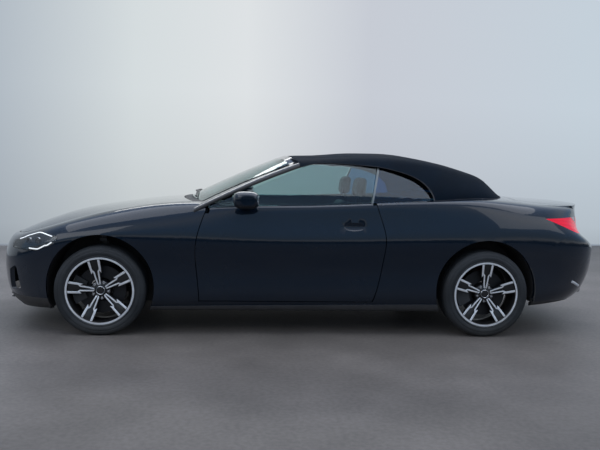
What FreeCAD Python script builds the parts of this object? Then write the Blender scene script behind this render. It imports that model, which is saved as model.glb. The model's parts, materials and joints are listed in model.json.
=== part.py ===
"""Two-door convertible car with its fabric top up, as an assembly of separate pieces.

X runs from nose to tail, Y to the car's right and Z up. The origin is on the ground below the
middle of the car's length. Sizes are in millimetres, and angles in degrees.
"""
import FreeCAD
import Part
import os
from math import cos, pi, sin, tan

Vector = FreeCAD.Vector
ALONG_X = Vector(1, 0, 0)
ALONG_Y = Vector(0, 1, 0)
ALONG_Z = Vector(0, 0, 1)
ORIGIN = Vector(0, 0, 0)

# Driving dimensions of the car
wheelbase = 2851.0
front_overhang = 845.0
rear_overhang = 1072.0
half_width = 926.0
deck_height = 1060.0
greenhouse_height = 324.0
front_track = 1575.0
rear_track = 1600.0
ground_clearance = 135.0

# Wheels and arches
tyre_radius = 326.0
tyre_width = 226.0
rim_radius = 259.0
arch_gap = 59.0
arch_rise = 24.0

# Panels
skin_wall = 28.0
flange_step = 26.0
shut_gap = 6.0
seat_gap = 0.3
overrun = 60.0
far = 6000.0

# Places that follow from them
nose_x = -(front_overhang + wheelbase + rear_overhang) / 2
front_axle_x = nose_x + front_overhang
rear_axle_x = front_axle_x + wheelbase
tail_x = rear_axle_x + rear_overhang
roof_height = deck_height + greenhouse_height
arch_radius = tyre_radius + arch_gap
arch_z = tyre_radius + arch_rise


def station(share):
    """X of a station: 0 is the nose, 1 the front axle, 2 the rear axle and 3 the tail."""
    stops = [nose_x, front_axle_x, rear_axle_x, tail_x]
    leg = min(max(int(share), 0), 2)
    return stops[leg] + (share - leg) * (stops[leg + 1] - stops[leg])


def mix(a, b, share):
    return a + (b - a) * share


def follow(table, at):
    """The value at a key of a table of (key, value), on a smooth curve that never overshoots its neighbours."""
    if at <= table[0][0]:
        return table[0][1]
    if at >= table[-1][0]:
        return table[-1][1]
    slopes = []
    for i in range(len(table)):
        before = table[max(i - 1, 0)]
        after = table[min(i + 1, len(table) - 1)]
        here = table[i]
        rise_before = (here[1] - before[1]) / max(here[0] - before[0], 1e-9)
        rise_after = (after[1] - here[1]) / max(after[0] - here[0], 1e-9)
        if rise_before * rise_after <= 0:
            slopes.append(0.0)
        else:
            slopes.append(2 * rise_before * rise_after / (rise_before + rise_after))
    i = max(k for k in range(len(table) - 1) if table[k][0] <= at)
    span = table[i + 1][0] - table[i][0]
    t = (at - table[i][0]) / span
    return (
        (2 * t**3 - 3 * t**2 + 1) * table[i][1]
        + (t**3 - 2 * t**2 + t) * span * slopes[i]
        + (3 * t**2 - 2 * t**3) * table[i + 1][1]
        + (t**3 - t**2) * span * slopes[i + 1]
    )


# Shapes from points


def surface_through(grid):
    surface = Part.BSplineSurface()
    surface.interpolate(grid)
    return surface


def pushed_in(surface, grid, depth):
    """A surface that lies depth below another, by its own normals at the grid's points."""
    inner = []
    for line in grid:
        inner_line = []
        for point in line:
            u, v = surface.parameter(point)
            inner_line.append(point - surface.normal(u, v) * depth)
        inner.append(inner_line)
    return surface_through(inner)


def wall_between(outer, inner):
    """The closed solid between two surfaces that were made on like grids."""
    u0, u1, v0, v1 = outer.bounds()
    iu0, iu1, iv0, iv1 = inner.bounds()
    faces = [outer.toShape(), inner.toShape()]
    for u, iu in ((u0, iu0), (u1, iu1)):
        faces.append(Part.makeRuledSurface(outer.uIso(u).toShape(), inner.uIso(iu).toShape(), 1))
    for v, iv in ((v0, iv0), (v1, iv1)):
        faces.append(Part.makeRuledSurface(outer.vIso(v).toShape(), inner.vIso(iv).toShape(), 1))
    shell = Part.Shell(faces)
    shell.sewShape()
    solid = Part.Solid(shell)
    if solid.Volume < 0:
        solid.reverse()
    return solid


def rounded_wire(corners, radius):
    """A closed wire through corners, each corner rounded by a radius or by as much as its sides allow."""
    count = len(corners)
    cuts = []
    for i in range(count):
        here = corners[i]
        back = (corners[i - 1] - here)
        ahead = (corners[(i + 1) % count] - here)
        reach = min(back.Length, ahead.Length) * 0.45
        turn = back.getAngle(ahead)
        want = radius / max(tan(turn / 2), 1e-6)
        reach = min(reach, want)
        start = here + back.normalize() * reach
        end = here + ahead.normalize() * reach
        bend = reach * tan(turn / 2)
        centre_way = (back + ahead)
        if centre_way.Length < 1e-6:
            cuts.append((start, None, end))
            continue
        centre_way.normalize()
        middle = here + centre_way * (bend / sin(turn / 2) - bend)
        cuts.append((start, middle, end))
    edges = []
    for i in range(count):
        start, middle, end = cuts[i]
        if middle is None:
            edges.append(Part.LineSegment(start, end).toShape())
        else:
            edges.append(Part.Arc(start, middle, end).toShape())
        following = cuts[(i + 1) % count][0]
        if (following - end).Length > 1e-4:
            edges.append(Part.LineSegment(end, following).toShape())
    return Part.Wire(edges)


def side_prism(outline, y_from, y_to, radius=0.0):
    """A prism along Y over an outline of (x, z) points."""
    corners = [Vector(x, y_from, z) for x, z in outline]
    if radius:
        wire = rounded_wire(corners, radius)
    else:
        wire = Part.makePolygon(corners + corners[:1])
    return Part.Face(wire).extrude(Vector(0, y_to - y_from, 0))


def plan_prism(outline, z_from, z_to, radius=0.0):
    """A prism along Z over an outline of (x, y) points."""
    corners = [Vector(x, y, z_from) for x, y in outline]
    if radius:
        wire = rounded_wire(corners, radius)
    else:
        wire = Part.makePolygon(corners + corners[:1])
    return Part.Face(wire).extrude(Vector(0, 0, z_to - z_from))


def end_prism(outline, x_from, x_to, radius=0.0):
    """A prism along X over an outline of (y, z) points."""
    corners = [Vector(x_from, y, z) for y, z in outline]
    if radius:
        wire = rounded_wire(corners, radius)
    else:
        wire = Part.makePolygon(corners + corners[:1])
    return Part.Face(wire).extrude(Vector(x_to - x_from, 0, 0))


def block(x0, x1, y0, y1, z0, z1):
    return Part.makeBox(x1 - x0, y1 - y0, z1 - z0, Vector(x0, y0, z0))


def soft_block(x0, x1, y0, y1, z0, z1, radius):
    """A block with all its edges rounded."""
    shape = block(x0, x1, y0, y1, z0, z1)
    least = min(x1 - x0, y1 - y0, z1 - z0)
    return shape.makeFillet(min(radius, least * 0.45), shape.Edges)


def cylinder_y(radius, x, y0, y1, z):
    return Part.makeCylinder(radius, y1 - y0, Vector(x, y0, z), ALONG_Y)


def mirrored(shape):
    return shape.mirror(ORIGIN, ALONG_Y)


def moved(shape, x=0.0, y=0.0, z=0.0):
    copy = shape.copy()
    copy.translate(Vector(x, y, z))
    return copy


def stretched(shape, shares, place):
    """A shape made at the origin, scaled along X, Y and Z and moved to its place."""
    scaling = FreeCAD.Matrix()
    scaling.scale(Vector(*shares))
    shape = shape.transformGeometry(scaling)
    shape.translate(place)
    return shape


def largest(shape):
    """The largest solid of a shape, which leaves out slivers."""
    return max(shape.Solids, key=lambda solid: solid.Volume)


def joined(shapes):
    whole = shapes[0]
    for shape in shapes[1:]:
        whole = whole.fuse(shape)
    return whole.removeSplitter()


def both_sides(shape):
    """A shape of the left side made whole with its mirror image."""
    return shape.fuse(mirrored(shape)).removeSplitter()


def save(name, shape):
    solids = shape.Solids
    shape = solids[0] if len(solids) == 1 else Part.makeCompound(solids)
    shape.exportStep(os.path.join("parts", name + ".step"))
    print(name, len(solids), shape.isValid(), round(shape.Volume / 1e6, 3))


# Top surfaces: heights of the bonnet and deck

bonnet_spine_shares = [
    (0.00, 0.575), (0.10, 0.651), (0.22, 0.697), (0.39, 0.752), (0.60, 0.8085),
    (0.81, 0.848), (1.00, 0.8745), (1.083, 0.906), (1.15, 0.9245), (1.222, 0.936), (1.32, 0.944),
]
bonnet_drop_shares = [
    (0.00, 0.088), (0.22, 0.085), (0.48, 0.0755), (0.72, 0.0585), (1.00, 0.036),
    (1.12, 0.020), (1.222, 0.0145), (1.32, 0.0135),
]
deck_spine_shares = [
    (1.90, 1.016), (2.05, 1.012), (2.23, 1.000), (2.37, 0.987), (2.61, 0.971),
    (2.78, 0.963), (2.905, 0.951), (3.00, 0.940),
]
deck_drop_shares = [(1.90, 0.028), (2.05, 0.030), (2.60, 0.042), (2.90, 0.048), (3.00, 0.050)]
crown_width = 0.756 * half_width
crown_power = 2.4


def crowned(spine, drop, share, y):
    fall = follow(drop, share) * (abs(y) / crown_width) ** crown_power
    return deck_height * (follow(spine, share) - fall)


def bonnet_z(share, y):
    return crowned(bonnet_spine_shares, bonnet_drop_shares, share, y)


def deck_z(share, y):
    return crowned(deck_spine_shares, deck_drop_shares, share, y)


# The body's side, from the nose's middle round to the tail's middle.
# Each column gives the widest line's station and width, the crest's station and width, the
# height of the widest line and of the bottom edge, and how much of each profile it has.

column_shares = [
    # widest           crest            waist  bottom  nose  tail  door  lid
    (0.000, 0.000, 0.100, 0.000, 0.455, 0.145, 1.00, 0.00, 0.00, 0.00),
    (0.010, 0.216, 0.112, 0.200, 0.455, 0.145, 1.00, 0.00, 0.00, 0.00),
    (0.045, 0.432, 0.155, 0.395, 0.460, 0.148, 1.00, 0.00, 0.00, 0.00),
    (0.120, 0.626, 0.235, 0.545, 0.475, 0.152, 1.00, 0.00, 0.00, 0.00),
    (0.250, 0.788, 0.370, 0.650, 0.505, 0.158, 0.80, 0.00, 0.00, 0.00),
    (0.430, 0.902, 0.530, 0.715, 0.560, 0.164, 0.50, 0.00, 0.00, 0.00),
    (0.640, 0.965, 0.720, 0.748, 0.620, 0.170, 0.20, 0.00, 0.00, 0.00),
    (1.000, 0.991, 1.000, 0.762, 0.665, 0.175, 0.00, 0.00, 0.00, 0.00),
    (1.135, 0.986, 1.135, 0.768, 0.660, 0.175, 0.00, 0.00, 0.00, 0.00),
    (1.215, 0.981, 1.215, 0.770, 0.657, 0.175, 0.00, 0.00, 0.15, 0.00),
    (1.290, 0.977, 1.290, 0.772, 0.655, 0.175, 0.00, 0.00, 0.45, 0.00),
    (1.400, 0.976, 1.400, 0.775, 0.655, 0.175, 0.00, 0.00, 0.85, 0.00),
    (1.550, 0.977, 1.550, 0.778, 0.657, 0.176, 0.00, 0.00, 1.00, 0.00),
    (1.700, 0.982, 1.700, 0.782, 0.665, 0.178, 0.00, 0.00, 1.00, 0.00),
    (1.860, 0.993, 1.860, 0.782, 0.675, 0.181, 0.00, 0.00, 0.80, 0.00),
    (2.000, 1.000, 2.000, 0.776, 0.680, 0.184, 0.00, 0.00, 0.45, 0.00),
    (2.280, 0.985, 2.270, 0.760, 0.675, 0.205, 0.00, 0.10, 0.10, 0.00),
    (2.520, 0.945, 2.490, 0.730, 0.650, 0.220, 0.00, 0.35, 0.00, 0.05),
    (2.700, 0.877, 2.650, 0.680, 0.620, 0.228, 0.00, 0.65, 0.00, 0.35),
    (2.830, 0.772, 2.765, 0.595, 0.585, 0.230, 0.00, 0.90, 0.00, 0.75),
    (2.925, 0.600, 2.845, 0.455, 0.555, 0.230, 0.00, 1.00, 0.00, 1.00),
    (2.980, 0.335, 2.890, 0.250, 0.535, 0.230, 0.00, 1.00, 0.00, 1.00),
    (3.000, 0.000, 2.905, 0.000, 0.530, 0.230, 0.00, 1.00, 0.00, 1.00),
]
belt_crest_shares = [
    (1.215, 0.9345), (1.290, 0.924), (1.400, 0.917), (1.550, 0.922), (1.700, 0.943),
    (1.860, 0.972), (2.000, 0.985),
]
# Profiles below the widest line: height from the bottom edge, and how far in, of the half width
side_low_shares = [(0.00, 0.105), (0.10, 0.030), (0.28, 0.013), (0.52, 0.019), (0.80, 0.008)]
nose_low_shares = [(0.00, 0.120), (0.12, 0.075), (0.30, 0.036), (0.55, 0.012), (0.80, 0.002)]
tail_low_shares = [(0.00, 0.170), (0.14, 0.105), (0.32, 0.060), (0.56, 0.026), (0.80, 0.006)]
# Profiles above it: how far towards the crest in plan, and in height
fender_high_shares = [(0.07, 0.36), (0.21, 0.63), (0.42, 0.83), (0.69, 0.95), (1.00, 1.00)]
door_high_shares = [(0.10, 0.40), (0.19, 0.77), (0.285, 0.955), (0.60, 0.985), (1.00, 1.00)]
lid_high_shares = [(0.10, 0.25), (0.72, 0.38), (0.97, 0.66), (1.04, 0.92), (1.00, 1.00)]
belt_row = len(side_low_shares) + 3


def crest_z(share, y):
    if share <= belt_crest_shares[0][0]:
        return bonnet_z(share, y)
    if share >= belt_crest_shares[-1][0]:
        return deck_z(share, y)
    return deck_height * follow(belt_crest_shares, share)


def outward_ways():
    """The outward way in plan of the widest line at each column."""
    places = [Vector(station(c[0]), -c[1] * half_width, 0) for c in column_shares]
    ways = []
    for i in range(len(places)):
        if i == 0:
            ways.append(Vector(-1, 0, 0))
        elif i == len(places) - 1:
            ways.append(Vector(1, 0, 0))
        else:
            along = places[i + 1] - places[i - 1]
            ways.append(Vector(along.y, -along.x, 0).normalize())
    return places, ways


def side_grid():
    """The side's points, column by column, with three columns past the middle at each end."""
    places, ways = outward_ways()
    grid = []
    for c, place, way in zip(column_shares, places, ways):
        crest = Vector(station(c[2]), -c[3] * half_width, 0)
        waist_z = c[4] * deck_height
        bottom_z = c[5] * deck_height
        nose, tail, door, lid = c[6:]
        top_z = crest_z(c[2], crest.y)
        column = []
        for side_low, nose_low, tail_low in zip(side_low_shares, nose_low_shares, tail_low_shares):
            low = [
                side_low[k] * (1 - nose - tail) + nose_low[k] * nose + tail_low[k] * tail
                for k in (0, 1)
            ]
            point = place - way * (low[1] * half_width)
            column.append(Vector(point.x, point.y, mix(bottom_z, waist_z, low[0])))
        column.append(Vector(place.x, place.y, waist_z))
        for fender, door_high, lid_high in zip(fender_high_shares, door_high_shares, lid_high_shares):
            high = [
                fender[k] * (1 - door - lid) + door_high[k] * door + lid_high[k] * lid
                for k in (0, 1)
            ]
            point = place + (crest - place) * high[0]
            column.append(Vector(point.x, point.y, mix(waist_z, top_z, high[1])))
        grid.append(column)

    def beyond(columns):
        return [[Vector(p.x, -p.y, p.z) for p in column] for column in columns]

    return beyond(grid[3:0:-1]) + grid + beyond(grid[-2:-5:-1])


side_points = side_grid()
side_surface = surface_through(side_points)
if side_surface.normal(0.5, 0.5).y > 0:
    side_points = [list(reversed(column)) for column in side_points]
    side_surface = surface_through(side_points)
    side_flipped = True
else:
    side_flipped = False
left_half = block(-far, far, -far, 0, -far, far)


def flattened(surface, axis, level):
    """A surface projected onto a plane across X, Y or Z."""
    flat = surface.copy()
    for i in range(1, flat.NbUPoles + 1):
        for j in range(1, flat.NbVPoles + 1):
            pole = flat.getPole(i, j)
            spot = [pole.x, pole.y, pole.z]
            spot[axis] = level
            flat.setPole(i, j, Vector(*spot))
    return flat


def bulk_behind(surface, axis, level):
    """The solid between a surface and a plane across X, Y or Z."""
    return wall_between(surface, flattened(surface, axis, level))


def run_wire(runs):
    """A closed wire through runs of points: two points make a line and more make a smooth curve."""
    edges = []
    for i, run in enumerate(runs):
        if len(run) == 2:
            edges.append(Part.LineSegment(run[0], run[1]).toShape())
        elif len(run) > 2:
            curve = Part.BSplineCurve()
            curve.interpolate(run)
            edges.append(curve.toShape())
        following = runs[(i + 1) % len(runs)][0]
        if (following - run[-1]).Length > 1e-3:
            edges.append(Part.LineSegment(run[-1], following).toShape())
    return Part.Wire(edges)


def side_runs_prism(runs, y_from, y_to):
    """A prism along Y over runs of (x, z) points."""
    wire = run_wire([[Vector(x, y_from, z) for x, z in run] for run in runs])
    return Part.Face(wire).extrude(Vector(0, y_to - y_from, 0))


def plan_runs_prism(runs, z_from, z_to):
    """A prism along Z over runs of (x, y) points."""
    wire = run_wire([[Vector(x, y, z_from) for x, y in run] for run in runs])
    return Part.Face(wire).extrude(Vector(0, 0, z_to - z_from))


# Outlines seen from the side, as shares of the stations and of the deck height

door_front_shares = [(1.2627, 0.864), (1.2490, 0.760), (1.2392, 0.644), (1.2417, 0.450), (1.2487, 0.247)]
door_rear_shares = [
    (1.6955, 0.247), (1.7125, 0.400), (1.7215, 0.546), (1.7261, 0.700), (1.7150, 0.819), (1.7019, 0.930),
]
bumper_seam_shares = [(0.475, 0.690), (0.615, 0.622), (0.602, 0.500), (0.602, 0.000)]
headlamp_shares = [(0.195, 0.572), (0.215, 0.622), (0.475, 0.703), (0.662, 0.672), (0.615, 0.622), (0.455, 0.572)]
skirt_top_shares = [(1.000, 0.200), (2.000, 0.236)]
rear_seam_shares = [(2.355, 0.400), (2.355, 0.500), (2.430, 0.600), (2.560, 0.702), (2.715, 0.742)]
tail_lamp_shares = [(2.430, 0.851), (2.752, 0.856), (2.990, 0.856), (2.990, 0.725), (2.820, 0.727), (2.700, 0.748)]
above_share = 1.2


def places(shares, shift=0.0, rise=0.0):
    return [(station(s) + shift, h * deck_height + rise) for s, h in shares]


def door_prism(front, rear, bottom, y_from, y_to):
    """A prism over the door's outline, grown at its front, rear and bottom edges."""
    front_run = places(door_front_shares, -front)
    rear_run = places(door_rear_shares, rear)
    front_run[-1] = (front_run[-1][0], front_run[-1][1] - bottom)
    rear_run[0] = (rear_run[0][0], rear_run[0][1] - bottom)
    top = above_share * deck_height
    top_runs = [[rear_run[-1], (rear_run[-1][0], top)], [(front_run[0][0], top), front_run[0]]]
    return side_runs_prism([front_run, rear_run] + top_runs, y_from, y_to)


# Faces behind the side's outer face, and the solids between them

side_inner = pushed_in(side_surface, side_points, skin_wall)
skin_left = wall_between(side_surface, side_inner).common(left_half)
frame_face = pushed_in(side_surface, side_points, skin_wall + seat_gap)
bulk_plane = -0.62 * half_width


def side_stretch(surface, first_share, last_share):
    """The stretch of a side surface between two stations along the door's belt."""
    wanted = []
    for share in (first_share, last_share):
        near = min(range(len(column_shares)), key=lambda i: abs(column_shares[i][0] - share))
        point = side_points[near + 3][belt_row]
        wanted.append(surface.parameter(point)[0])
    stretch = surface.copy()
    u0, u1, v0, v1 = stretch.bounds()
    stretch.segment(min(wanted), max(wanted), v0, v1)
    return stretch


side_bulk = bulk_behind(side_stretch(side_surface, 0.64, 2.7), 1, bulk_plane)
frame_bulk = bulk_behind(side_stretch(frame_face, 0.64, 2.7), 1, bulk_plane)


def arch(axle_x, y_from, y_to, spare=0.0):
    return cylinder_y(arch_radius + spare, axle_x, y_from, y_to, arch_z)


front_arch = arch(front_axle_x, -far, far)
rear_arch = arch(rear_axle_x, -far, far)

# The boot lid's outline in plan and its lower edge

lid_half_width = 575.0
lid_front_x = station(2.306)
lid_bottom_z = 0.712 * deck_height
lid_zone = block(lid_front_x - shut_gap, far, -lid_half_width - shut_gap, lid_half_width + shut_gap,
                 lid_bottom_z - shut_gap, far)

# Body panels of the left side


lamp_round = 12.0
headlamp_prism = side_prism(places(headlamp_shares), -far, 0, lamp_round)


def front_fender():
    seam = places(bumper_seam_shares)
    top = above_share * deck_height
    skirt = places(skirt_top_shares)
    door = places(door_front_shares, -shut_gap)
    rear_low = (door[-1][0], skirt[0][1])
    runs = [
        [(seam[0][0], top), seam[0]], [seam[0], seam[1]], [seam[1], seam[2]], [seam[2], (seam[2][0], skirt[0][1])],
        [rear_low, door[-1]], door[::-1], [door[0], (door[0][0], top)],
    ]
    panel = skin_left.common(side_runs_prism(runs, -far, 0))
    return largest(panel.cut(front_arch).cut(headlamp_prism))


def headlamp():
    return largest(skin_left.common(headlamp_prism))


def quarter():
    top = above_share * deck_height
    skirt = places(skirt_top_shares)
    front_x = places(door_front_shares, -shut_gap)[-1][0]
    door = places(door_rear_shares, shut_gap)
    bottom = door[0][1] - shut_gap
    door[0] = (door[0][0], bottom)
    seam = places(rear_seam_shares)
    far_x = tail_x + overrun
    runs = [
        [(front_x, skirt[0][1]), (seam[0][0], skirt[1][1])],
        [seam[0], seam[1]], seam[1:], [(far_x, seam[-1][1]), (far_x, top)],
        [(door[-1][0], top), door[-1]], door[::-1], [(front_x, bottom), (front_x, skirt[0][1])],
    ]
    panel = skin_left.common(side_runs_prism(runs, -far, 0))
    lamp = side_prism(places(tail_lamp_shares), -far, 0)
    under_deck = deck_prism(deck_seam - seat_gap, deck_foot_share * deck_height)
    return largest(panel.cut(rear_arch).cut(lid_zone).cut(lamp).cut(under_deck))


tail_lamp_prism = side_prism(places(tail_lamp_shares), -far, 0)


def tail_lamp():
    return largest(skin_left.common(tail_lamp_prism).cut(lid_zone))


# Door: hinge axis behind the front edge, close inside the outer face

door_inner_y = -0.856 * half_width
door_flange_y = -0.932 * half_width
hinge_setback = 65.0
hinge_inset = 12.0
inner_shut_gap = 14.0
hinge_x = station(door_front_shares[2][0]) + hinge_setback
hinge_y = -0.9775 * half_width + hinge_inset
hinge_swing = 78.0
pull_radius = 24.0
pull_shares = (1.00, 0.50, 0.86)
bowl_shares = (0.97, 0.24, 0.37)
handle_out_share = 0.9775
handle_share = 0.779
handle_from_share, handle_to_share = 1.603, 1.682


def door():
    skin = side_bulk.common(door_prism(0, 0, 0, -far, door_flange_y))
    core = side_bulk.common(door_prism(-flange_step, -flange_step, -flange_step, -far, door_inner_y))
    panel = skin.fuse(core)
    bowl_x = station(mix(handle_from_share, handle_to_share, 0.5))
    bowl_half = (station(handle_to_share) - station(handle_from_share)) / 2
    place = Vector(bowl_x, -handle_out_share * half_width, handle_share * deck_height)
    panel = panel.cut(stretched(Part.makeSphere(bowl_half), bowl_shares, place))
    pull = Part.makeCylinder(pull_radius, 2 * bowl_half, Vector(-bowl_half, 0, 0), ALONG_X)
    return largest(panel.fuse(stretched(pull, pull_shares, place)))


def side_frame():
    """The sill, hinge pillar and lock pillar round the door's opening."""
    front_x = station(1.19)
    back_x = station(1.79)
    ring = block(front_x, back_x, -far, -cabin_half, floor_z + floor_wall + seat_gap, deck_height)
    frame = frame_bulk.common(ring)
    step = door_prism(shut_gap, shut_gap, shut_gap, -far, door_flange_y + shut_gap)
    hole = door_prism(inner_shut_gap - flange_step, inner_shut_gap - flange_step, shut_gap - flange_step, -far, far)
    swing = Part.makeCylinder(
        hinge_swing, deck_height, Vector(hinge_x, hinge_y, door_rear_shares[0][1] * deck_height - shut_gap)
    )
    return largest(frame.cut(step).cut(hole).cut(swing).cut(front_arch).cut(rear_arch))


# Side skirts: a blade along the sill between the arches

skirt_proud = 9.0
skirt_wall = 30.0


def side_skirt():
    outer = pushed_in(side_surface, side_points, -skirt_proud)
    inner = pushed_in(side_surface, side_points, skirt_wall)
    blade = wall_between(outer, inner)
    low, high = places(skirt_top_shares)
    outline = [(low[0], 0.0), (high[0], 0.0), (high[0], high[1]), (low[0], low[1])]
    blade = blade.common(side_prism(outline, -far, 0))
    return largest(blade.cut(front_arch).cut(rear_arch))


# Bumpers

kidney_half_shares = [(0.045, 0.275), (0.315, 0.285), (0.330, 0.585), (0.060, 0.595)]
intake_shares = [(-0.40, 0.165), (0.40, 0.165), (0.34, 0.235), (-0.34, 0.235)]
vent_shares = [(0.66, 0.27), (0.80, 0.30), (0.79, 0.46), (0.70, 0.42)]


def nose_prism(shares, radius):
    outline = [(y * half_width, z * deck_height) for y, z in shares]
    return end_prism(outline, -far, station(0.42), radius)


def front_bumper():
    seam = places(bumper_seam_shares)
    top = above_share * deck_height
    runs = [
        [(seam[0][0], top), seam[0]], [seam[0], seam[1]], [seam[1], seam[2]], [seam[2], seam[3]],
        [(-far, seam[3][1]), (-far, top)],
    ]
    half = skin_left.common(side_runs_prism(runs, -far, 0))
    half = largest(half.cut(headlamp_prism).cut(front_arch))
    whole = both_sides(half)
    for sign in (-1, 1):
        for shares, radius in ((kidney_half_shares, 30.0), (vent_shares, 14.0)):
            whole = whole.cut(nose_prism([(sign * y, z) for y, z in shares], radius))
    whole = whole.cut(nose_prism(intake_shares, 12.0))
    return largest(whole)


lid_stop_y = 330.0
lid_stop_half = 14.0


def rear_bumper():
    seam = places(rear_seam_shares)
    far_x = tail_x + overrun
    runs = [
        [(seam[0][0], 0.0), seam[0]], [seam[0], seam[1]], seam[1:],
        [(far_x, seam[-1][1]), (far_x, 0.0)],
    ]
    half = skin_left.common(side_runs_prism(runs, -far, 0))
    half = half.cut(rear_arch).cut(tail_lamp_prism).cut(lid_zone)
    stop = block(
        -far, far, -lid_stop_y - lid_stop_half, -lid_stop_y + lid_stop_half,
        lid_bottom_z - shut_gap - lid_stop_half, lid_bottom_z - seat_gap
    )
    stop = largest(skin_left.common(moved(skin_left, -skin_wall / 2)).common(stop).common(block(0, far, -far, 0, 0, far)))
    return both_sides(largest(half).fuse(stop))


# Bonnet, cowl and deck: slabs under crowned faces

slab_wall = 20.0


def crowned_surface(height, first_x, last_x, columns, rows, half):
    grid = []
    for i in range(columns):
        x = mix(first_x, last_x, i / (columns - 1))
        line = []
        for j in range(rows):
            y = mix(-half, half, j / (rows - 1))
            line.append(Vector(x, y, height(share_of(x), y)))
        grid.append(line)
    return surface_through(grid)


def share_of(x):
    """The station at a place along X."""
    stops = [nose_x, front_axle_x, rear_axle_x, tail_x]
    leg = 0 if x < stops[1] else 1 if x < stops[2] else 2
    return leg + (x - stops[leg]) / (stops[leg + 1] - stops[leg])


def slab(surface, thickness):
    under = bulk_behind(surface, 2, 0.0)
    return under.cut(moved(under, 0, 0, -thickness))


bonnet_rear_side_share = 1.226
bonnet_rear_middle_share = 1.186
bonnet_hinge_share = 1.232


def crest_in_plan(first, last, inset):
    """The crest's places in plan between two columns, moved in by an inset."""
    row = [side_points[i + 3][-1 if not side_flipped else 0] for i in range(len(column_shares))]
    picked = []
    for i in range(first, last + 1):
        before = row[max(i - 1, 0)]
        after = row[min(i + 1, len(row) - 1)]
        along = Vector(after.x - before.x, after.y - before.y, 0)
        way = Vector(-along.y, along.x, 0).normalize()
        if i == 0 or i == len(row) - 1:
            way = Vector(1 if i == 0 else -1, 0, 0)
        picked.append((row[i].x + way.x * inset, row[i].y + way.y * inset))
    return picked


def bonnet():
    edge = crest_in_plan(0, 9, shut_gap)
    corner = (station(bonnet_rear_side_share), -0.771 * half_width + shut_gap)
    left = [corner] + edge[::-1]
    nose_run = left + [(x, -y) for x, y in left[-2::-1]]
    middle = (station(bonnet_rear_middle_share), 0.0)
    rear_run = [(corner[0], -corner[1]), middle, corner]
    outline = plan_runs_prism([nose_run, rear_run], 0.0, far)
    top = crowned_surface(bonnet_z, nose_x, station(1.30), 22, 13, 0.80 * half_width)
    return largest(slab(top, slab_wall).common(outline))


def cowl():
    front_corner = (station(bonnet_rear_side_share) + shut_gap, -0.771 * half_width)
    front_middle = (station(bonnet_rear_middle_share) + shut_gap, 0.0)
    front_run = [(front_corner[0], -front_corner[1]), front_middle, front_corner]
    back_corner = (station(1.262), front_corner[1])
    back_middle = (station(1.215), 0.0)
    back_run = [back_corner, back_middle, (back_corner[0], -back_corner[1])]
    top = crowned_surface(bonnet_z, station(1.10), station(1.32), 8, 13, 0.80 * half_width)
    return largest(slab(top, slab_wall).common(plan_runs_prism([front_run, back_run], 0.0, far)))


deck_surface = crowned_surface(deck_z, station(1.86), tail_x + overrun, 12, 13, 0.80 * half_width)
deck_under = bulk_behind(deck_surface, 2, 0.0)


def tail_face():
    """The tail's face carried on above the deck, so that the deck can trim it."""
    first = min(i for i, c in enumerate(column_shares) if c[0] > 2.2)
    grid = []
    for column in side_points[first + 3:]:
        rows = column[::-1] if side_flipped else column
        grid.append(rows + [rows[-1] + ALONG_Z * lip_rise])
    return surface_through(grid)


lip_rise = 50.0
lid_skin = 22.0


def boot_lid():
    inside = bulk_behind(tail_face(), 0, station(2.2))
    outline = block(lid_front_x, far, -lid_half_width, lid_half_width, lid_bottom_z, far)
    outer = inside.common(deck_under).common(outline)
    hollow = moved(inside, -skin_wall).common(moved(deck_under, 0, 0, -lid_skin))
    lid = outer.cut(hollow)
    lamp = block(station(2.7), far, -far, far, tail_lamp_low, tail_lamp_top)
    inner_lamps = lamp.cut(block(-far, far, -lid_lamp_inner, lid_lamp_inner, 0, far))
    return largest(lid.cut(inner_lamps)), lid.common(inner_lamps)


tail_lamp_low = 0.735 * deck_height
tail_lamp_top = 0.848 * deck_height
lid_lamp_inner = 395.0
deck_front_x = station(1.915)
deck_seam = 3.5
deck_wall = 12.0
deck_foot_share = 0.87


def deck_prism(inset, low_z):
    """A prism over the deck's outline in plan, inside the crest by an inset."""
    crest = crest_in_plan(12, 20, inset)
    crest = [p for p in crest if p[0] > deck_front_x]
    start = (deck_front_x, crest[0][1])
    left = [start] + crest
    right = [(x, -y) for x, y in left[::-1]]
    return plan_runs_prism([left, right], low_z, far)


def rear_deck():
    plate = deck_under.cut(moved(deck_under, 0, 0, -deck_wall))
    return largest(plate.common(deck_prism(deck_seam, 0.0)).cut(lid_zone))


# Windscreen and its frame, with the pillars' outer sides

screen_base_half = 735.0
screen_top_half = 575.0
screen_bulge = 12.0
screen_sweep = 116.0
screen_top_sweep = 90.0
screen_base_drop = 25.0
screen_top_drop = 55.0
screen_base_x = station(1.203)
screen_top_x = station(1.461)
screen_base_z = 0.934 * deck_height
screen_top_z = deck_height + 0.833 * greenhouse_height
frame_wall = 18.0
pillar_face = 36.0
glass_wall = 5.0


def glass_half(x, z):
    """How far out the side glass lies at a place seen from the side."""
    belt = half_width * follow(glass_belt_shares, share_of(x))
    rise = (z - 0.91 * deck_height) / greenhouse_height
    return belt - half_width * (0.175 * rise + 0.0567 * rise * rise)


glass_belt_shares = [(1.20, 0.895), (1.33, 0.905), (1.65, 0.916), (1.86, 0.907), (2.00, 0.853), (2.2, 0.78)]


def screen_point(s, t):
    half = mix(screen_base_half, screen_top_half, t)
    x = mix(screen_base_x + screen_sweep * s * s, screen_top_x + screen_top_sweep * s * s, t)
    z = mix(screen_base_z - screen_base_drop * s * s, screen_top_z - screen_top_drop * s**4, t)
    lift = screen_bulge * 4 * t * (1 - t)
    return Vector(x - 0.42 * lift, half * s, z + 0.907 * lift)


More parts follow.
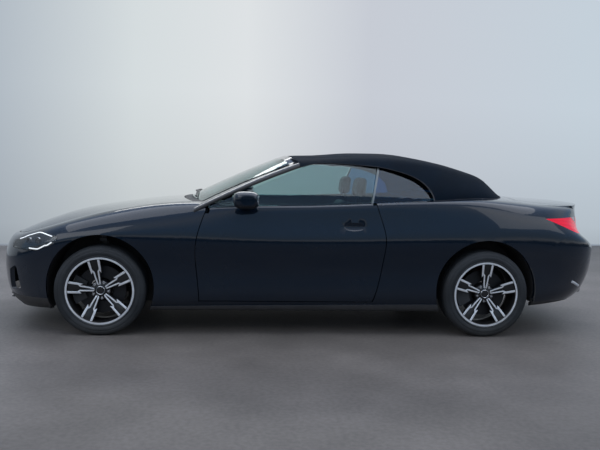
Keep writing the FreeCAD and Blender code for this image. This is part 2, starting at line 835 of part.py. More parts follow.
def pillar_points(sign, t):
    """Points round the pillar's outer corner, from the glass's edge to the pillar's lower edge."""
    edge = screen_point(sign, t)
    low_z = edge.z - pillar_face
    low_x = edge.x + 0.55 * pillar_face
    out = glass_half(low_x, low_z)
    reach = out - abs(edge.y)
    return [
        Vector(edge.x + 0.03 * reach, sign * (abs(edge.y) + 0.45 * reach), edge.z - 0.02 * reach),
        Vector(edge.x + 0.09 * reach, sign * (abs(edge.y) + 0.84 * reach), edge.z - 0.10 * reach),
        Vector(mix(edge.x, low_x, 0.55), sign * (out - 0.02 * reach), mix(edge.z, low_z, 0.55)),
        Vector(low_x, sign * out, low_z),
    ]


across_shares = [-1.0, -0.8, -0.55, -0.28, 0.0, 0.28, 0.55, 0.8, 1.0]
up_shares = [-0.07, 0.0, 0.15, 0.35, 0.55, 0.75, 0.90, 1.0, 1.035]


def screen_grid(across, ups, corners):
    grid = []
    for t in ups:
        line = [screen_point(s, t) for s in across]
        if corners:
            line = pillar_points(-1, t)[::-1] + line + pillar_points(1, t)
        grid.append(line)
    return grid


def outward_grid(grid, way):
    """A grid whose surface's normals point the given way."""
    surface = surface_through(grid)
    if surface.normal(0.5, 0.5).dot(way) < 0:
        grid = [line[::-1] for line in grid]
    return grid


def sheet_of(grid, way, over, under):
    """A solid sheet from a height over a grid's surface to a depth under it."""
    grid = outward_grid(grid, way)
    middle = surface_through(grid)
    top = pushed_in(middle, grid, -over) if over else middle
    low = pushed_in(middle, grid, under)
    return wall_between(top, low)


glass_across_shares = [0.965 * s for s in across_shares]
glass_up_shares = [0.03, 0.2, 0.4, 0.6, 0.8, 0.955]


def windscreen():
    return sheet_of(screen_grid(glass_across_shares, glass_up_shares, False), ALONG_Z, 0, glass_wall)


pillar_turn_shares = [0.30, 0.62, 0.88, 1.0]


def frame_inner_grid():
    """The frame's inner face: under the screen it lies below the outer one, and at the pillars inboard of it."""
    grid = []
    for t in up_shares:
        drop = Vector(0.42 * frame_wall, 0, -0.907 * frame_wall)
        line = [screen_point(s, t) + drop for s in across_shares]
        sides = []
        for sign in (-1, 1):
            side = []
            for point, turn in zip(pillar_points(sign, t), pillar_turn_shares):
                inward = Vector(0, -sign * turn * 1.2 * frame_wall, 0)
                side.append(point + drop * (1 - 0.85 * turn) + inward)
            sides.append(side)
        grid.append(sides[0][::-1] + line + sides[1])
    return grid


def windscreen_frame():
    outer = surface_through(screen_grid(across_shares, up_shares, True))
    frame = wall_between(outer, surface_through(frame_inner_grid()))
    plug = sheet_of(screen_grid(glass_across_shares, glass_up_shares, False), ALONG_Z, 40.0, 60.0)
    frame = frame.cut(plug)
    return frame


# Side glass, its divider and the fabric top's opening over them

window_top_shares = [
    (1.5118, 0.583), (1.5331, 0.642), (1.6440, 0.667), (1.7194, 0.623), (1.7734, 0.5185), (1.8229, 0.3426),
    (1.8495, 0.105), (1.8583, -0.0926), (1.8593, -0.309),
]
pillar_line_shares = [(1.2476, -0.401), (1.5047, 0.565)]
divider_low_share, divider_top_share = 1.6855, 1.7155
divider_width = 15.0
glass_foot_share = -0.36


window_front_share = 1.20
window_front_drop = 56.0
window_foot_share, window_head_share = -0.5, 1.0
pillar_seal = 22.0
sheet_shares = (1.22, 1.92)
sheet_up_shares = (-0.45, -0.2, 0.05, 0.3, 0.55, 0.8)
sheet_columns = 8
divider_slope_share = 0.62
divider_cut_share = 0.618
divider_round = 5.0


def glass_height(share):
    return deck_height + share * greenhouse_height


def glass_places(shares, shift=0.0):
    """Places on the side glass from station and greenhouse shares, shifted forwards and down."""
    return [(station(along) - shift, glass_height(up) - shift) for along, up in shares]


def window_prism(gap):
    """A prism over the side windows, smaller by a gap along their curved upper edge."""
    top = glass_places(window_top_shares, gap)
    foot_z = glass_height(window_foot_share)
    front_x = station(window_front_share)
    corner = (front_x, top[0][1] - window_front_drop)
    runs = [[(front_x, foot_z), corner], [corner, top[0]], top, [top[-1], (top[-1][0], foot_z)]]
    return side_runs_prism(runs, -far, 0)


def side_glass_sheet(depth):
    grid = []
    for i in range(sheet_columns + 1):
        x = mix(station(sheet_shares[0]), station(sheet_shares[1]), i / sheet_columns)
        grid.append([Vector(x, -glass_half(x, z), z) for z in [glass_height(up) for up in sheet_up_shares]])
    return sheet_of(grid, -ALONG_Y, 0, depth)


def divider_x(z, shift):
    low_z = glass_height(glass_foot_share)
    top_z = glass_height(divider_slope_share)
    return mix(station(divider_low_share), station(divider_top_share), (z - low_z) / (top_z - low_z)) + shift


def door_glass(panel):
    low_z, high_z = glass_height(glass_foot_share), glass_height(window_head_share)
    foot, head = glass_places(pillar_line_shares)
    front = [mix(foot[0], head[0], (z - foot[1]) / (head[1] - foot[1])) + pillar_seal for z in (low_z, high_z)]
    corners = [
        (front[0], low_z), (front[1], high_z),
        (divider_x(high_z, -shut_gap), high_z), (divider_x(low_z, -shut_gap), low_z),
    ]
    pane = side_glass_sheet(glass_wall).common(window_prism(shut_gap)).common(side_prism(corners, -far, 0))
    return largest(pane.cut(panel))


def divider():
    low_z, top_z = glass_height(glass_foot_share), glass_height(divider_cut_share)
    corners = [
        (divider_x(low_z, 0), low_z), (divider_x(top_z, 0), top_z),
        (divider_x(top_z, divider_width), top_z - divider_round), (divider_x(low_z, divider_width), low_z),
    ]
    return side_glass_sheet(2 * glass_wall).common(side_prism(corners, -far, 0))


def quarter_glass():
    low_z, high_z = glass_height(glass_foot_share), glass_height(window_head_share)
    shift = divider_width + seat_gap
    back_x = station(sheet_shares[1])
    corners = [(divider_x(low_z, shift), low_z), (divider_x(high_z, shift), high_z), (back_x, high_z), (back_x, low_z)]
    return side_glass_sheet(glass_wall).common(window_prism(2 * seat_gap)).common(side_prism(corners, -far, 0))


# Fabric top

top_wall = 24.0
top_section_shares = [
    # station, half width, foot height of the deck, middle height of the greenhouse
    (1.4680, 0.945, 0.925, 0.845), (1.5398, 0.925, 0.925, 0.903), (1.6159, 0.912, 0.925, 0.951),
    (1.6945, 0.905, 0.935, 0.995), (1.7608, 0.907, 0.950, 0.990), (1.8274, 0.907, 0.966, 0.935),
    (1.8836, 0.894, 0.976, 0.850), (1.9351, 0.859, 0.983, 0.732), (1.9783, 0.825, 0.983, 0.620),
    (2.0466, 0.784, 0.979, 0.488), (2.1290, 0.722, 0.975, 0.278), (2.1940, 0.630, 0.972, 0.105),
    (2.2690, 0.480, 0.966, -0.040), (2.3430, 0.400, 0.950, -0.240),
]
top_profile_shares = [
    (1.000, -0.10), (0.995, 0.0), (0.919, 0.363), (0.800, 0.694), (0.752, 0.792), (0.537, 0.922), (0.263, 0.982),
    (0.0, 1.0),
]
rear_window_shares = [(1.950, -0.46), (1.950, 0.46), (2.095, 0.42), (2.095, -0.42)]
rear_window_round = 60.0
header_share = 1.45
header_gap = 12.0


def top_grid():
    grid = []
    for share, width, foot, middle in top_section_shares:
        foot_z = foot * deck_height
        rise = deck_height + middle * greenhouse_height - foot_z
        left = [
            Vector(station(share), -w * width * half_width, foot_z + h * max(rise, 60.0) if h < 0 else foot_z + h * rise)
            for w, h in top_profile_shares
        ]
        right = [Vector(p.x, -p.y, p.z) for p in left[-2::-1]]
        grid.append(left + right)
    return grid


def fabric_top(frame, trims):
    cover = sheet_of(top_grid(), ALONG_Z, 0, top_wall)
    opening = window_prism(0)
    cover = cover.cut(opening).cut(mirrored(opening))
    across = [-header_share, -0.83 * header_share] + across_shares + [0.83 * header_share, header_share]
    edge = [(screen_point(s, 1.0).x + header_gap, screen_point(s, 1.0).y) for s in across]
    keep = plan_runs_prism([edge, [(far, edge[-1][1]), (far, edge[0][1])]], 0, far)
    cover = cover.common(keep)
    for trim in trims:
        cover = cover.cut(trim)
    window = plan_prism([(station(x), y * half_width) for x, y in rear_window_shares], 0, far, rear_window_round)
    pane = cover.common(window)
    return largest(cover.cut(window)), pane


# Wheels, made at the origin with the outer side towards the car's left

tyre_profile_shares = [
    # across, of half the tyre's width; and outwards, of the sidewall's height
    (-1.0, 0.0), (-1.0, 0.85), (-0.84, 1.0), (0.84, 1.0), (1.0, 0.85), (1.0, 0.0),
]
rim_profile_shares = [
    # across, of half the tyre's width; and radius, of the rim's radius
    (-0.97, 1.0), (0.97, 1.0), (0.97, 0.955), (0.30, 0.915), (-0.60, 0.93), (-0.97, 0.955),
]
spoke_count = 5
spoke_band_shares = [
    # across, of half the tyre's width; and radius, of the rim's radius
    (-0.66, 0.10), (-0.84, 0.55), (-0.93, 0.95), (-0.55, 0.95), (-0.42, 0.30), (-0.42, 0.10),
]
spoke_plan_shares = [
    # radius and side of one bar of a pair, of the rim's radius
    (0.16, 0.010), (0.16, 0.150), (0.50, 0.200), (0.955, 0.245), (0.955, 0.105), (0.50, 0.085),
]
hub_radius = 62.0
disc_radius = 174.0
disc_wall = 26.0
disc_offset = -6.0
axle_stub_radius = 30.0
axle_stub_reach = 38.0
cap_radius = 32.0
lug_circle_radius = 56.0
lug_radius = 11.0


def ring_about_y(profile):
    """A ring about the Y axis from (y, radius) points."""
    corners = [Vector(0, y, radius) for y, radius in profile]
    face = Part.Face(Part.makePolygon(corners + corners[:1]))
    return face.revolve(ORIGIN, ALONG_Y, 360)


def tyre():
    half = tyre_width / 2
    wall = tyre_radius - rim_radius
    return ring_about_y([(a * half, rim_radius + seat_gap + o * (wall - seat_gap)) for a, o in tyre_profile_shares])


def rim():
    half = tyre_width / 2
    barrel = ring_about_y([(a * half, r * rim_radius) for a, r in rim_profile_shares])
    band = ring_about_y([(a * half, r * rim_radius) for a, r in spoke_band_shares])
    bars = []
    for i in range(spoke_count):
        for sign in (-1, 1):
            outline = [
                Vector(sign * s * rim_radius, -tyre_width, r * rim_radius) for r, s in spoke_plan_shares
            ]
            bar = Part.Face(Part.makePolygon(outline + outline[:1])).extrude(Vector(0, 2 * tyre_width, 0))
            bar.rotate(ORIGIN, ALONG_Y, 360 * i / spoke_count)
            bars.append(bar)
    spokes = bars[0].multiFuse(bars[1:]).common(band)
    front_y = spoke_band_shares[0][0] * half
    back_y = disc_offset + disc_wall / 2
    hub = cylinder_y(hub_radius, 0, front_y, back_y, 0)
    disc = cylinder_y(disc_radius, 0, disc_offset - disc_wall / 2, back_y, 0)
    stub = cylinder_y(axle_stub_radius, 0, back_y - 1, back_y + axle_stub_reach, 0)
    cap = cylinder_y(cap_radius, 0, front_y - 6, front_y + 1, 0)
    return barrel.multiFuse([spokes, hub, disc, stub, cap])


# Knuckles, made for the left wheel at the origin

bearing_gap = 0.4
running_gap = 7.0
carrier_radius = 54.0
carrier_reach = 40.0
caliper_radius = 206.0
caliper_inner_radius = 112.0
caliper_wall = 24.0
caliper_span = 62.0
caliper_angle = 239.0
steer_offset = 60.0
ball_radius = 11.0
upper_ball_z = 372.0
lower_ball_z = -138.0
swan_y = 128.0
swan_wall = 24.0
arm_boss_radius = 22.0


def caliper(angle):
    """A brake caliper over the disc, with a slot that the disc runs in."""
    back_y = disc_offset + disc_wall / 2
    front_y = disc_offset - disc_wall / 2
    body = cylinder_y(caliper_radius, 0, front_y - caliper_wall, back_y + caliper_wall + running_gap, 0)
    body = body.cut(cylinder_y(caliper_inner_radius, 0, -far, far, 0))
    body = body.cut(cylinder_y(disc_radius + running_gap, 0, front_y - running_gap, back_y + running_gap, 0))
    wedge = Part.makeCylinder(2 * caliper_radius, 2 * tyre_width, Vector(0, -tyre_width, 0), ALONG_Y, caliper_span)
    body = body.common(wedge)
    body.rotate(ORIGIN, ALONG_Y, angle)
    return body


def carrier():
    """The bearing housing that the wheel's stub turns in."""
    back_y = disc_offset + disc_wall / 2 + running_gap
    body = cylinder_y(carrier_radius, 0, back_y, back_y + carrier_reach, 0)
    bridge = block(-caliper_radius * 0.75, 0, back_y + running_gap, back_y + carrier_reach * 0.7,
                   -carrier_radius * 0.5, carrier_radius * 0.5)
    bore = cylinder_y(axle_stub_radius + bearing_gap, 0, -far, far, 0)
    return body, bridge, bore


def front_knuckle():
    body, bridge, bore = carrier()
    back_y = disc_offset + disc_wall / 2 + running_gap
    swan = block(-swan_wall, swan_wall, swan_y, swan_y + swan_wall, -carrier_radius, upper_ball_z)
    web = block(-swan_wall, swan_wall, back_y + running_gap, swan_y + swan_wall, -carrier_radius, carrier_radius)
    top = block(-swan_wall, swan_wall, steer_offset - swan_wall, swan_y + swan_wall, upper_ball_z - swan_wall, upper_ball_z)
    low = block(-swan_wall, swan_wall, steer_offset - swan_wall, swan_y, lower_ball_z, lower_ball_z + swan_wall)
    leg = block(-swan_wall, swan_wall, back_y + running_gap, back_y + running_gap + swan_wall, lower_ball_z, 0)
    tie = block(-swan_wall * 5, 0, swan_y - swan_wall, swan_y, -carrier_radius, -carrier_radius + swan_wall)
    whole = body.multiFuse([bridge, swan, web, top, low, leg, tie, caliper(caliper_angle)])
    pin = Part.makeCylinder(ball_radius + bearing_gap, 2 * far, Vector(0, steer_offset, -far), ALONG_Z)
    return largest(whole.cut(bore).cut(pin.common(block(-far, far, -far, far, lower_ball_z - 1, lower_ball_z + swan_wall + 1)))
                   .cut(pin.common(block(-far, far, -far, far, upper_ball_z - swan_wall - 1, upper_ball_z + 1))))


# Axles

front_wheel_y = -front_track / 2
rear_wheel_y = -rear_track / 2
steer_y = front_wheel_y + steer_offset
damper_y = 448.0
damper_radius = 30.0
ball_clearance = 8.0
subframe_half_length = 70.0
subframe_wall = 46.0
subframe_end = 45.0
arm_wall = 26.0
arm_root_half = 60.0
arm_tip_half = 20.0
arm_tip_reach = 18.0
upper_arm_gap = 6.0
tower_inner_y = 300.0
tower_wall = 30.0
damper_top_z = tyre_radius + upper_ball_z - ball_clearance


def side_arm(sign, z0, z1):
    """A suspension arm that tapers from the subframe to the ball joint."""
    x = front_axle_x
    root_y = sign * (damper_y - damper_radius)
    tip_y = sign * (-steer_y + arm_tip_reach)
    corners = [
        (x - arm_root_half, root_y), (x + arm_root_half, root_y), (x + arm_tip_half, tip_y), (x - arm_tip_half, tip_y),
    ]
    return plan_prism(corners, z0, z1)


def front_axle():
    """The front subframe with its arms, ball pins, dampers and the towers that stand on the rails."""
    low_z = tyre_radius + lower_ball_z - ball_clearance
    high_z = tyre_radius + upper_ball_z
    leg_foot_z = rail_top + seat_gap
    x = front_axle_x
    reach = damper_y + subframe_end
    parts = [block(x - subframe_half_length, x + subframe_half_length, -reach, reach, low_z - subframe_wall, low_z)]
    for sign in (-1, 1):
        inner, outer = sorted((sign * tower_inner_y, sign * (damper_y + damper_radius)))
        leg = sign * rail_y
        low_pin = Vector(x, sign * -steer_y, low_z)
        high_pin = Vector(x, sign * -steer_y, high_z - swan_wall)
        parts += [
            side_arm(sign, low_z - arm_wall, low_z),
            side_arm(sign, high_z + upper_arm_gap, damper_top_z + tower_wall),
            Part.makeCylinder(ball_radius, swan_wall + ball_clearance, low_pin, ALONG_Z),
            Part.makeCylinder(ball_radius, swan_wall + ball_clearance, high_pin, ALONG_Z),
            Part.makeCylinder(damper_radius, damper_top_z - low_z, Vector(x, sign * damper_y, low_z), ALONG_Z),
            block(x - arm_root_half, x + arm_root_half, inner, outer, damper_top_z, damper_top_z + tower_wall),
            block(x - arm_root_half, x + arm_root_half, leg - rail_half, leg + rail_half, leg_foot_z, damper_top_z),
        ]
    return parts[0].multiFuse(parts[1:]).removeSplitter()


beam_half_length = 50.0
beam_low = 90.0
beam_wall = 40.0
beam_end = 20.0
housing_back = 150.0
housing_front = 130.0
housing_half = 180.0
drop_half = 40.0
drop_wall = 34.0
shaft_radius_rear = 18.0
rear_damper_y = 500.0
rear_damper_back = 20.0
rear_damper_length = 380.0
rear_damper_foot = 60.0


def rear_axle():
    """The rear beam with its final drive, drive shafts, hubs, calipers and dampers."""
    x = rear_axle_x
    body, bridge, bore = carrier()
    hub = body.multiFuse([bridge, caliper(caliper_angle)]).cut(bore)
    hub.translate(Vector(x, rear_wheel_y, tyre_radius))
    hub = largest(hub)
    back_y = rear_wheel_y + disc_offset + disc_wall / 2 + running_gap + carrier_reach
    low_z = tyre_radius - beam_low
    end = -back_y + beam_end
    beam = block(x - beam_half_length, x + beam_half_length, -end, end, low_z, low_z + beam_wall)
    housing = block(x - housing_back, x + housing_front, -housing_half, housing_half, low_z, tyre_radius + beam_end)
    drop = block(x - drop_half, x + drop_half, back_y - seat_gap, back_y + drop_wall, low_z, tyre_radius)
    shaft = cylinder_y(shaft_radius_rear, x, back_y, -housing_half, tyre_radius)
    foot = Vector(x + rear_damper_back, -rear_damper_y, tyre_radius - rear_damper_foot)
    damper = Part.makeCylinder(damper_radius, rear_damper_length, foot, ALONG_Z)
    left = [hub, drop, shaft, damper]
    parts = [beam, housing] + left + [mirrored(p) for p in left]
    return parts[0].multiFuse(parts[1:]).removeSplitter()


# Inside the body

floor_wall = 16.0
floor_z = ground_clearance + 2 * floor_wall
floor_top = floor_z + floor_wall
cabin_half = 0.80 * half_width
floor_half = 0.82 * half_width
firewall_half = 0.76 * half_width
firewall_top = 0.80 * deck_height
firewall_x = station(1.195)
bulkhead_half = 0.56 * half_width
bulkhead_top = 0.49 * deck_height
bulkhead_x = station(1.865)
tunnel_half = 150.0
tunnel_top = 0.3113 * deck_height
tunnel_inner_half = tunnel_half - floor_wall
rail_y = 380.0
rail_half = 32.0
rail_top = 0.4057 * deck_height
rail_low = 0.3113 * deck_height
rail_front_x = station(0.178)
cross_front_x = station(0.154)
cross_back_x = station(0.213)
cross_half = 0.54 * half_width
boot_floor_z = 0.335 * deck_height
boot_floor_half = 0.497 * half_width
boot_floor_x = station(2.82)
boot_end_x = station(2.80)
boot_end_top = 0.674 * deck_height


def underbody():
    """The floor with its tunnel, firewall, rear bulkhead, boot floor and front rails."""
    parts = [
        block(firewall_x, bulkhead_x, -floor_half, floor_half, floor_z, floor_top),
        block(firewall_x, bulkhead_x, -tunnel_half, tunnel_half, floor_z, tunnel_top),
        block(firewall_x - floor_wall, firewall_x, -firewall_half, firewall_half, floor_z, firewall_top),
        block(bulkhead_x, bulkhead_x + floor_wall, -bulkhead_half, bulkhead_half, floor_z, bulkhead_top),
        block(bulkhead_x, boot_floor_x, -boot_floor_half, boot_floor_half, boot_floor_z, boot_floor_z + floor_wall),
        block(boot_end_x, boot_floor_x, -boot_floor_half, boot_floor_half, boot_floor_z, boot_end_top),
        block(cross_front_x, cross_back_x, -cross_half, cross_half, rail_low, rail_top),
    ]
    for sign in (-1, 1):
        y = sign * rail_y
        parts.append(block(rail_front_x, firewall_x, y - rail_half, y + rail_half, rail_low, rail_top))
    hollow = block(
        firewall_x - overrun, bulkhead_x + overrun, -tunnel_inner_half, tunnel_inner_half, 0, tunnel_top - floor_wall
    )
    return largest(parts[0].multiFuse(parts[1:]).cut(hollow)).removeSplitter()


liner_wall = 4.0
liner_outer_y = -0.965 * half_width
front_well_y = -0.530 * half_width
rear_well_y = -0.570 * half_width
liner_low_z = 0.27 * deck_height
liner_window_share = 0.62
liner_window_drop = 90.0


def arch_liner(axle_x, inner_y, trims):
    """A wheel housing: a drum round the arch with an inner wall that is open round the axle."""
    drum = arch(axle_x, liner_outer_y, inner_y, liner_wall).cut(arch(axle_x, -far, inner_y - liner_wall))
    drum = drum.cut(block(-far, far, -far, 0, -far, liner_low_z))
    drum = drum.cut(cylinder_y(liner_window_share * arch_radius, axle_x, -far, 0, arch_z - liner_window_drop))
    for trim in trims:
        drum = drum.cut(trim)
    return largest(drum)


engine_front_x, engine_back_x, gearbox_back_x = station(0.80), station(1.14), station(1.38)
engine_half = 240.0
engine_low = 0.236 * deck_height
engine_top = 0.745 * deck_height
gearbox_low = floor_z - liner_wall
gearbox_top = tunnel_top - floor_wall - ball_clearance


def engine():
    """One plain block for the engine, with the gearbox behind it in the tunnel."""
    gearbox_half = tunnel_inner_half - seat_gap
    motor = block(engine_front_x, engine_back_x, -engine_half, engine_half, engine_low, engine_top)
    return motor.fuse(block(engine_back_x, gearbox_back_x, -gearbox_half, gearbox_half, gearbox_low, gearbox_top))


radiator_x = station(0.225)
radiator_wall = 60.0
radiator_half, radiator_low_half = 420.0, 330.0
radiator_low = 0.30 * deck_height
radiator_top = 0.58 * deck_height


def radiator():
    """The radiator, wide above the rails and narrow between them."""
    foot_z = rail_top + seat_gap
    back_x = radiator_x + radiator_wall
    wide = block(radiator_x, back_x, -radiator_half, radiator_half, foot_z, radiator_top)
    return wide.fuse(block(radiator_x, back_x, -radiator_low_half, radiator_low_half, radiator_low, foot_z))


silencer_shares = [(2.56, 0.22), (2.80, 0.22), (2.80, 0.325), (2.56, 0.325)]
silencer_half = 426.0
silencer_round = 40.0
tailpipe_y = 330.0
tailpipe_z = 0.275 * deck_height
tailpipe_radius, tailpipe_bore, tailpipe_hole = 44.0, 38.0, 52.0
tailpipe_front_x, tailpipe_bore_x, tailpipe_end_x = station(2.77), station(2.80), station(2.947)


def tailpipe(radius, sign, first_x, last_x):
    return Part.makeCylinder(radius, last_x - first_x, Vector(first_x, sign * tailpipe_y, tailpipe_z), ALONG_X)


def exhaust():
    """The rear silencer with its two tailpipes."""
    silencer = side_prism(places(silencer_shares), -silencer_half, silencer_half, silencer_round)
    pipes = []
    for sign in (-1, 1):
        pipe = tailpipe(tailpipe_radius, sign, tailpipe_front_x, tailpipe_end_x)
        pipes.append(pipe.cut(tailpipe(tailpipe_bore, sign, tailpipe_bore_x, tail_x)))
    return silencer.multiFuse(pipes)


grille_x = station(0.075)
slat_count = 7
slat_half, slat_depth = 6.0, 22.0
slat_y_shares = (0.075, 0.300)
grille_low, grille_top = 0.270 * deck_height, 0.595 * deck_height
carrier_wall = 18.0
carrier_offset = 16.0
carrier_top_shares = (0.34, 0.575, 0.600)
carrier_low_shares = (0.42, 0.235, 0.285)
mesh_bars = 3
mesh_half, mesh_depth = 4.0, 20.0
post_half = 8.0
post_y = 330.0


def carrier_bar(shares):
    half, low, top = shares
    return block(
        grille_x + carrier_offset, grille_x + carrier_offset + carrier_wall, -half * half_width, half * half_width,
        low * deck_height, top * deck_height
    )


def grilles(bumper):
    """Upright slats behind the twin openings, bars in the low intake and the posts that carry them."""
    parts = [carrier_bar(carrier_top_shares), carrier_bar(carrier_low_shares)]
    for sign in (-1, 1):
        for k in range(slat_count):
            y = sign * mix(slat_y_shares[0], slat_y_shares[1], k / (slat_count - 1)) * half_width
            parts.append(block(grille_x, grille_x + slat_depth, y - slat_half, y + slat_half, grille_low, grille_top))
    low_z, high_z = intake_shares[0][1] * deck_height, intake_shares[2][1] * deck_height
    reach = intake_shares[1][0] * half_width
    bar_x = grille_x + mesh_half
    for k in range(mesh_bars):
        z = mix(low_z, high_z, (k + 0.5) / mesh_bars)
        parts.append(block(bar_x, bar_x + mesh_depth, -reach, reach, z - mesh_half, z + mesh_half))
    for y in (-post_y, 0.0, post_y):
        top_z = carrier_low_shares[2] * deck_height
        parts.append(block(bar_x, bar_x + mesh_depth + post_half, y - post_half, y + post_half, low_z, top_z))
    return parts[0].multiFuse(parts[1:]).cut(bumper)


# Cabin

seat_y = 0.415 * half_width
seat_half = 0.246 * half_width
seat_round, headrest_round = 55.0, 40.0
cushion_shares = [(1.4575, 0.283), (1.640, 0.283), (1.640, 0.453), (1.479, 0.475), (1.4575, 0.453)]
seat_base_shares = [(1.479, 0.150), (1.612, 0.150), (1.612, 0.311), (1.479, 0.311)]
seat_back_shares = [(1.598, 0.396), (1.640, 0.396), (1.702, 0.925), (1.663, 0.925)]
headrest_shares = [(1.668, 0.957), (1.698, 0.957), (1.704, 1.118), (1.674, 1.118)]
headrest_half = 0.145 * half_width
headrest_post_y = 60.0
headrest_post_radius = 8.0
headrest_post_shares = (1.683, 0.90, 0.98)
seat_base_inset = 40.0


def front_seat(y):
    low, high = y - seat_half, y + seat_half
    cushion = side_prism(places(cushion_shares), low, high, seat_round)
    back = side_prism(places(seat_back_shares), low, high, headrest_round)
    head = side_prism(places(headrest_shares), y - headrest_half, y + headrest_half, headrest_round)
    base = places(seat_base_shares)
    base = [(x, max(z, floor_top)) for x, z in base]
    base = side_prism(base, low + seat_base_inset, high - seat_base_inset)
    post_x, post_low, post_top = headrest_post_shares
    posts = []
    for sign in (-1, 1):
        foot = Vector(station(post_x), y + sign * headrest_post_y, post_low * deck_height)
        posts.append(Part.makeCylinder(headrest_post_radius, (post_top - post_low) * deck_height, foot, ALONG_Z))
    return cushion.multiFuse([back, head, base] + posts)


def front_seats():
    return both(front_seat(-seat_y))


bench_half = 0.605 * half_width
bench_base_half = 0.52 * half_width
bench_round, bench_back_round = 50.0, 40.0
bench_shares = [(1.7145, 0.316), (1.845, 0.316), (1.845, 0.472), (1.736, 0.491), (1.7145, 0.472)]
bench_back_shares = [(1.817, 0.425), (1.859, 0.425), (1.894, 0.877), (1.859, 0.877)]
bench_base_shares = [(1.722, 0.3113), (1.838, 0.3113), (1.838, 0.340), (1.722, 0.340)]


def rear_seat():
    cushion = side_prism(places(bench_shares), -bench_half, bench_half, bench_round)
    back = side_prism(places(bench_back_shares), -bench_half, bench_half, bench_back_round)
    base = side_prism(places(bench_base_shares), -bench_base_half, bench_base_half)
    return cushion.multiFuse([back, base])


dash_half = 0.75 * half_width
dash_round, console_round, cluster_round = 45.0, 30.0, 25.0
dash_shares = [
    (1.2136, 0.585), (1.2136, 0.863), (1.2662, 0.882), (1.3223, 0.854), (1.3434, 0.774), (1.3294, 0.604),
    (1.2732, 0.566),
]
console_half = 115.0
console_shares = [
    (1.2732, 0.3113), (1.2732, 0.623), (1.3294, 0.604), (1.3644, 0.453), (1.6450, 0.443), (1.6556, 0.3113),
]
cluster_shares = [(1.3153, 0.811), (1.3504, 0.821), (1.3469, 0.906), (1.3118, 0.896)]
cluster_half = 190.0
column_lean = 22.0
column_radius = 20.0
column_reach = 66.0
shroud_reach = 120.0
shroud_wall = 8.0
ring_radius = 178.0
ring_wall = 15.0
ring_sides = 8
hub_disc_radius, hub_disc_wall = 58.0, 40.0
hub_disc_back = 20.0
wheel_spoke_half, wheel_spoke_wall = 16.0, 10.0
steering_x, steering_z = station(1.3802), 0.7877 * deck_height


def at_column(shape):
    """A shape made about the X axis, leant back and moved to the steering wheel's place."""
    shape.rotate(ORIGIN, ALONG_Y, -column_lean)
    shape.translate(Vector(steering_x, -seat_y, steering_z))
    return shape


def dashboard():
    """The dashboard with its centre console, instrument hood and column shroud."""
    dash = side_prism(places(dash_shares), -dash_half, dash_half, dash_round)
    console = side_prism(places(console_shares), -console_half, console_half, console_round)
    hood = side_prism(places(cluster_shares), -seat_y - cluster_half, -seat_y + cluster_half, cluster_round)
    shroud_end = Vector(-column_reach - seat_gap - shroud_reach, 0, 0)
    shroud = Part.makeCylinder(column_radius + shroud_wall, shroud_reach, shroud_end, ALONG_X)
    return dash.multiFuse([console, hood, at_column(shroud)])


def steering_wheel():
    """The steering wheel with its ring, hub, three spokes and shaft."""
    section = []
    for k in range(ring_sides):
        turn = 2 * pi * k / ring_sides
        section.append(Vector(ring_wall * cos(turn), 0, ring_radius + ring_wall * sin(turn)))
    ring = Part.Face(Part.makePolygon(section + section[:1])).revolve(ORIGIN, ALONG_X, 360)
    hub = Part.makeCylinder(hub_disc_radius, hub_disc_wall, Vector(-hub_disc_back, 0, 0), ALONG_X)
    wall, half = wheel_spoke_wall, wheel_spoke_half
    across = block(-wall, wall, -ring_radius, ring_radius, -half, half)
    down = block(-wall, wall, -half, half, -ring_radius, 0)
    shaft = Part.makeCylinder(column_radius, column_reach, Vector(-column_reach, 0, 0), ALONG_X)
    return at_column(ring.multiFuse([hub, shaft, across, down]))


mirror_sections_shares = [
    # out, of the half width; and size of the section
    (-0.945, 0.50), (-0.972, 0.88), (-1.020, 1.00), (-1.085, 0.95), (-1.118, 0.72), (-1.126, 0.45),
]
mirror_x_share, mirror_z_share = 1.3645, 0.947
mirror_half_length, mirror_half_height = 92.0, 62.0
mirror_lean = 20.0
mirror_points = 16
mirror_square_share = 0.62
mirror_arm_shares = (1.352, 1.378, 0.975, 0.900, 0.895, 0.930)


def rounded_power(value):
    """A sine or cosine drawn out towards one, which squares off the ellipse it makes."""
    return (abs(value) ** mirror_square_share) * (1 if value > 0 else -1)


def mirror():
    """The mirror's housing, lofted through squared sections, and its foot on the door."""
    sections = []
    for out, spread in mirror_sections_shares:
        centre_x = station(mirror_x_share) + (1 - spread) * mirror_lean
        ring = []
        for k in range(mirror_points):
            turn = 2 * pi * (k + 0.5) / mirror_points
            x = centre_x + mirror_half_length * spread * rounded_power(cos(turn))
            z = mirror_z_share * deck_height + mirror_half_height * spread * rounded_power(sin(turn))
            ring.append(Vector(x, out * half_width, z))
        curve = Part.BSplineCurve()
        curve.interpolate(ring, PeriodicFlag=True)
        sections.append(Part.Wire([curve.toShape()]))
    first, last, outer, inner, low, top = mirror_arm_shares
    arm = block(
        station(first), station(last), -outer * half_width, -inner * half_width, low * deck_height, top * deck_height
    )
    return Part.makeLoft(sections, True), arm


flap_x_share, flap_z_share = 2.075, 0.835
flap_radius = 78.0
flap_gap = 5.0
flap_wall = 6.0
flap_lip = 8.0
flap_pocket_depth = 3.6 * flap_wall
flap_barrel_half = 6.0
flap_barrel_radius = 13.8
flap_hinge_out_share = 0.9784


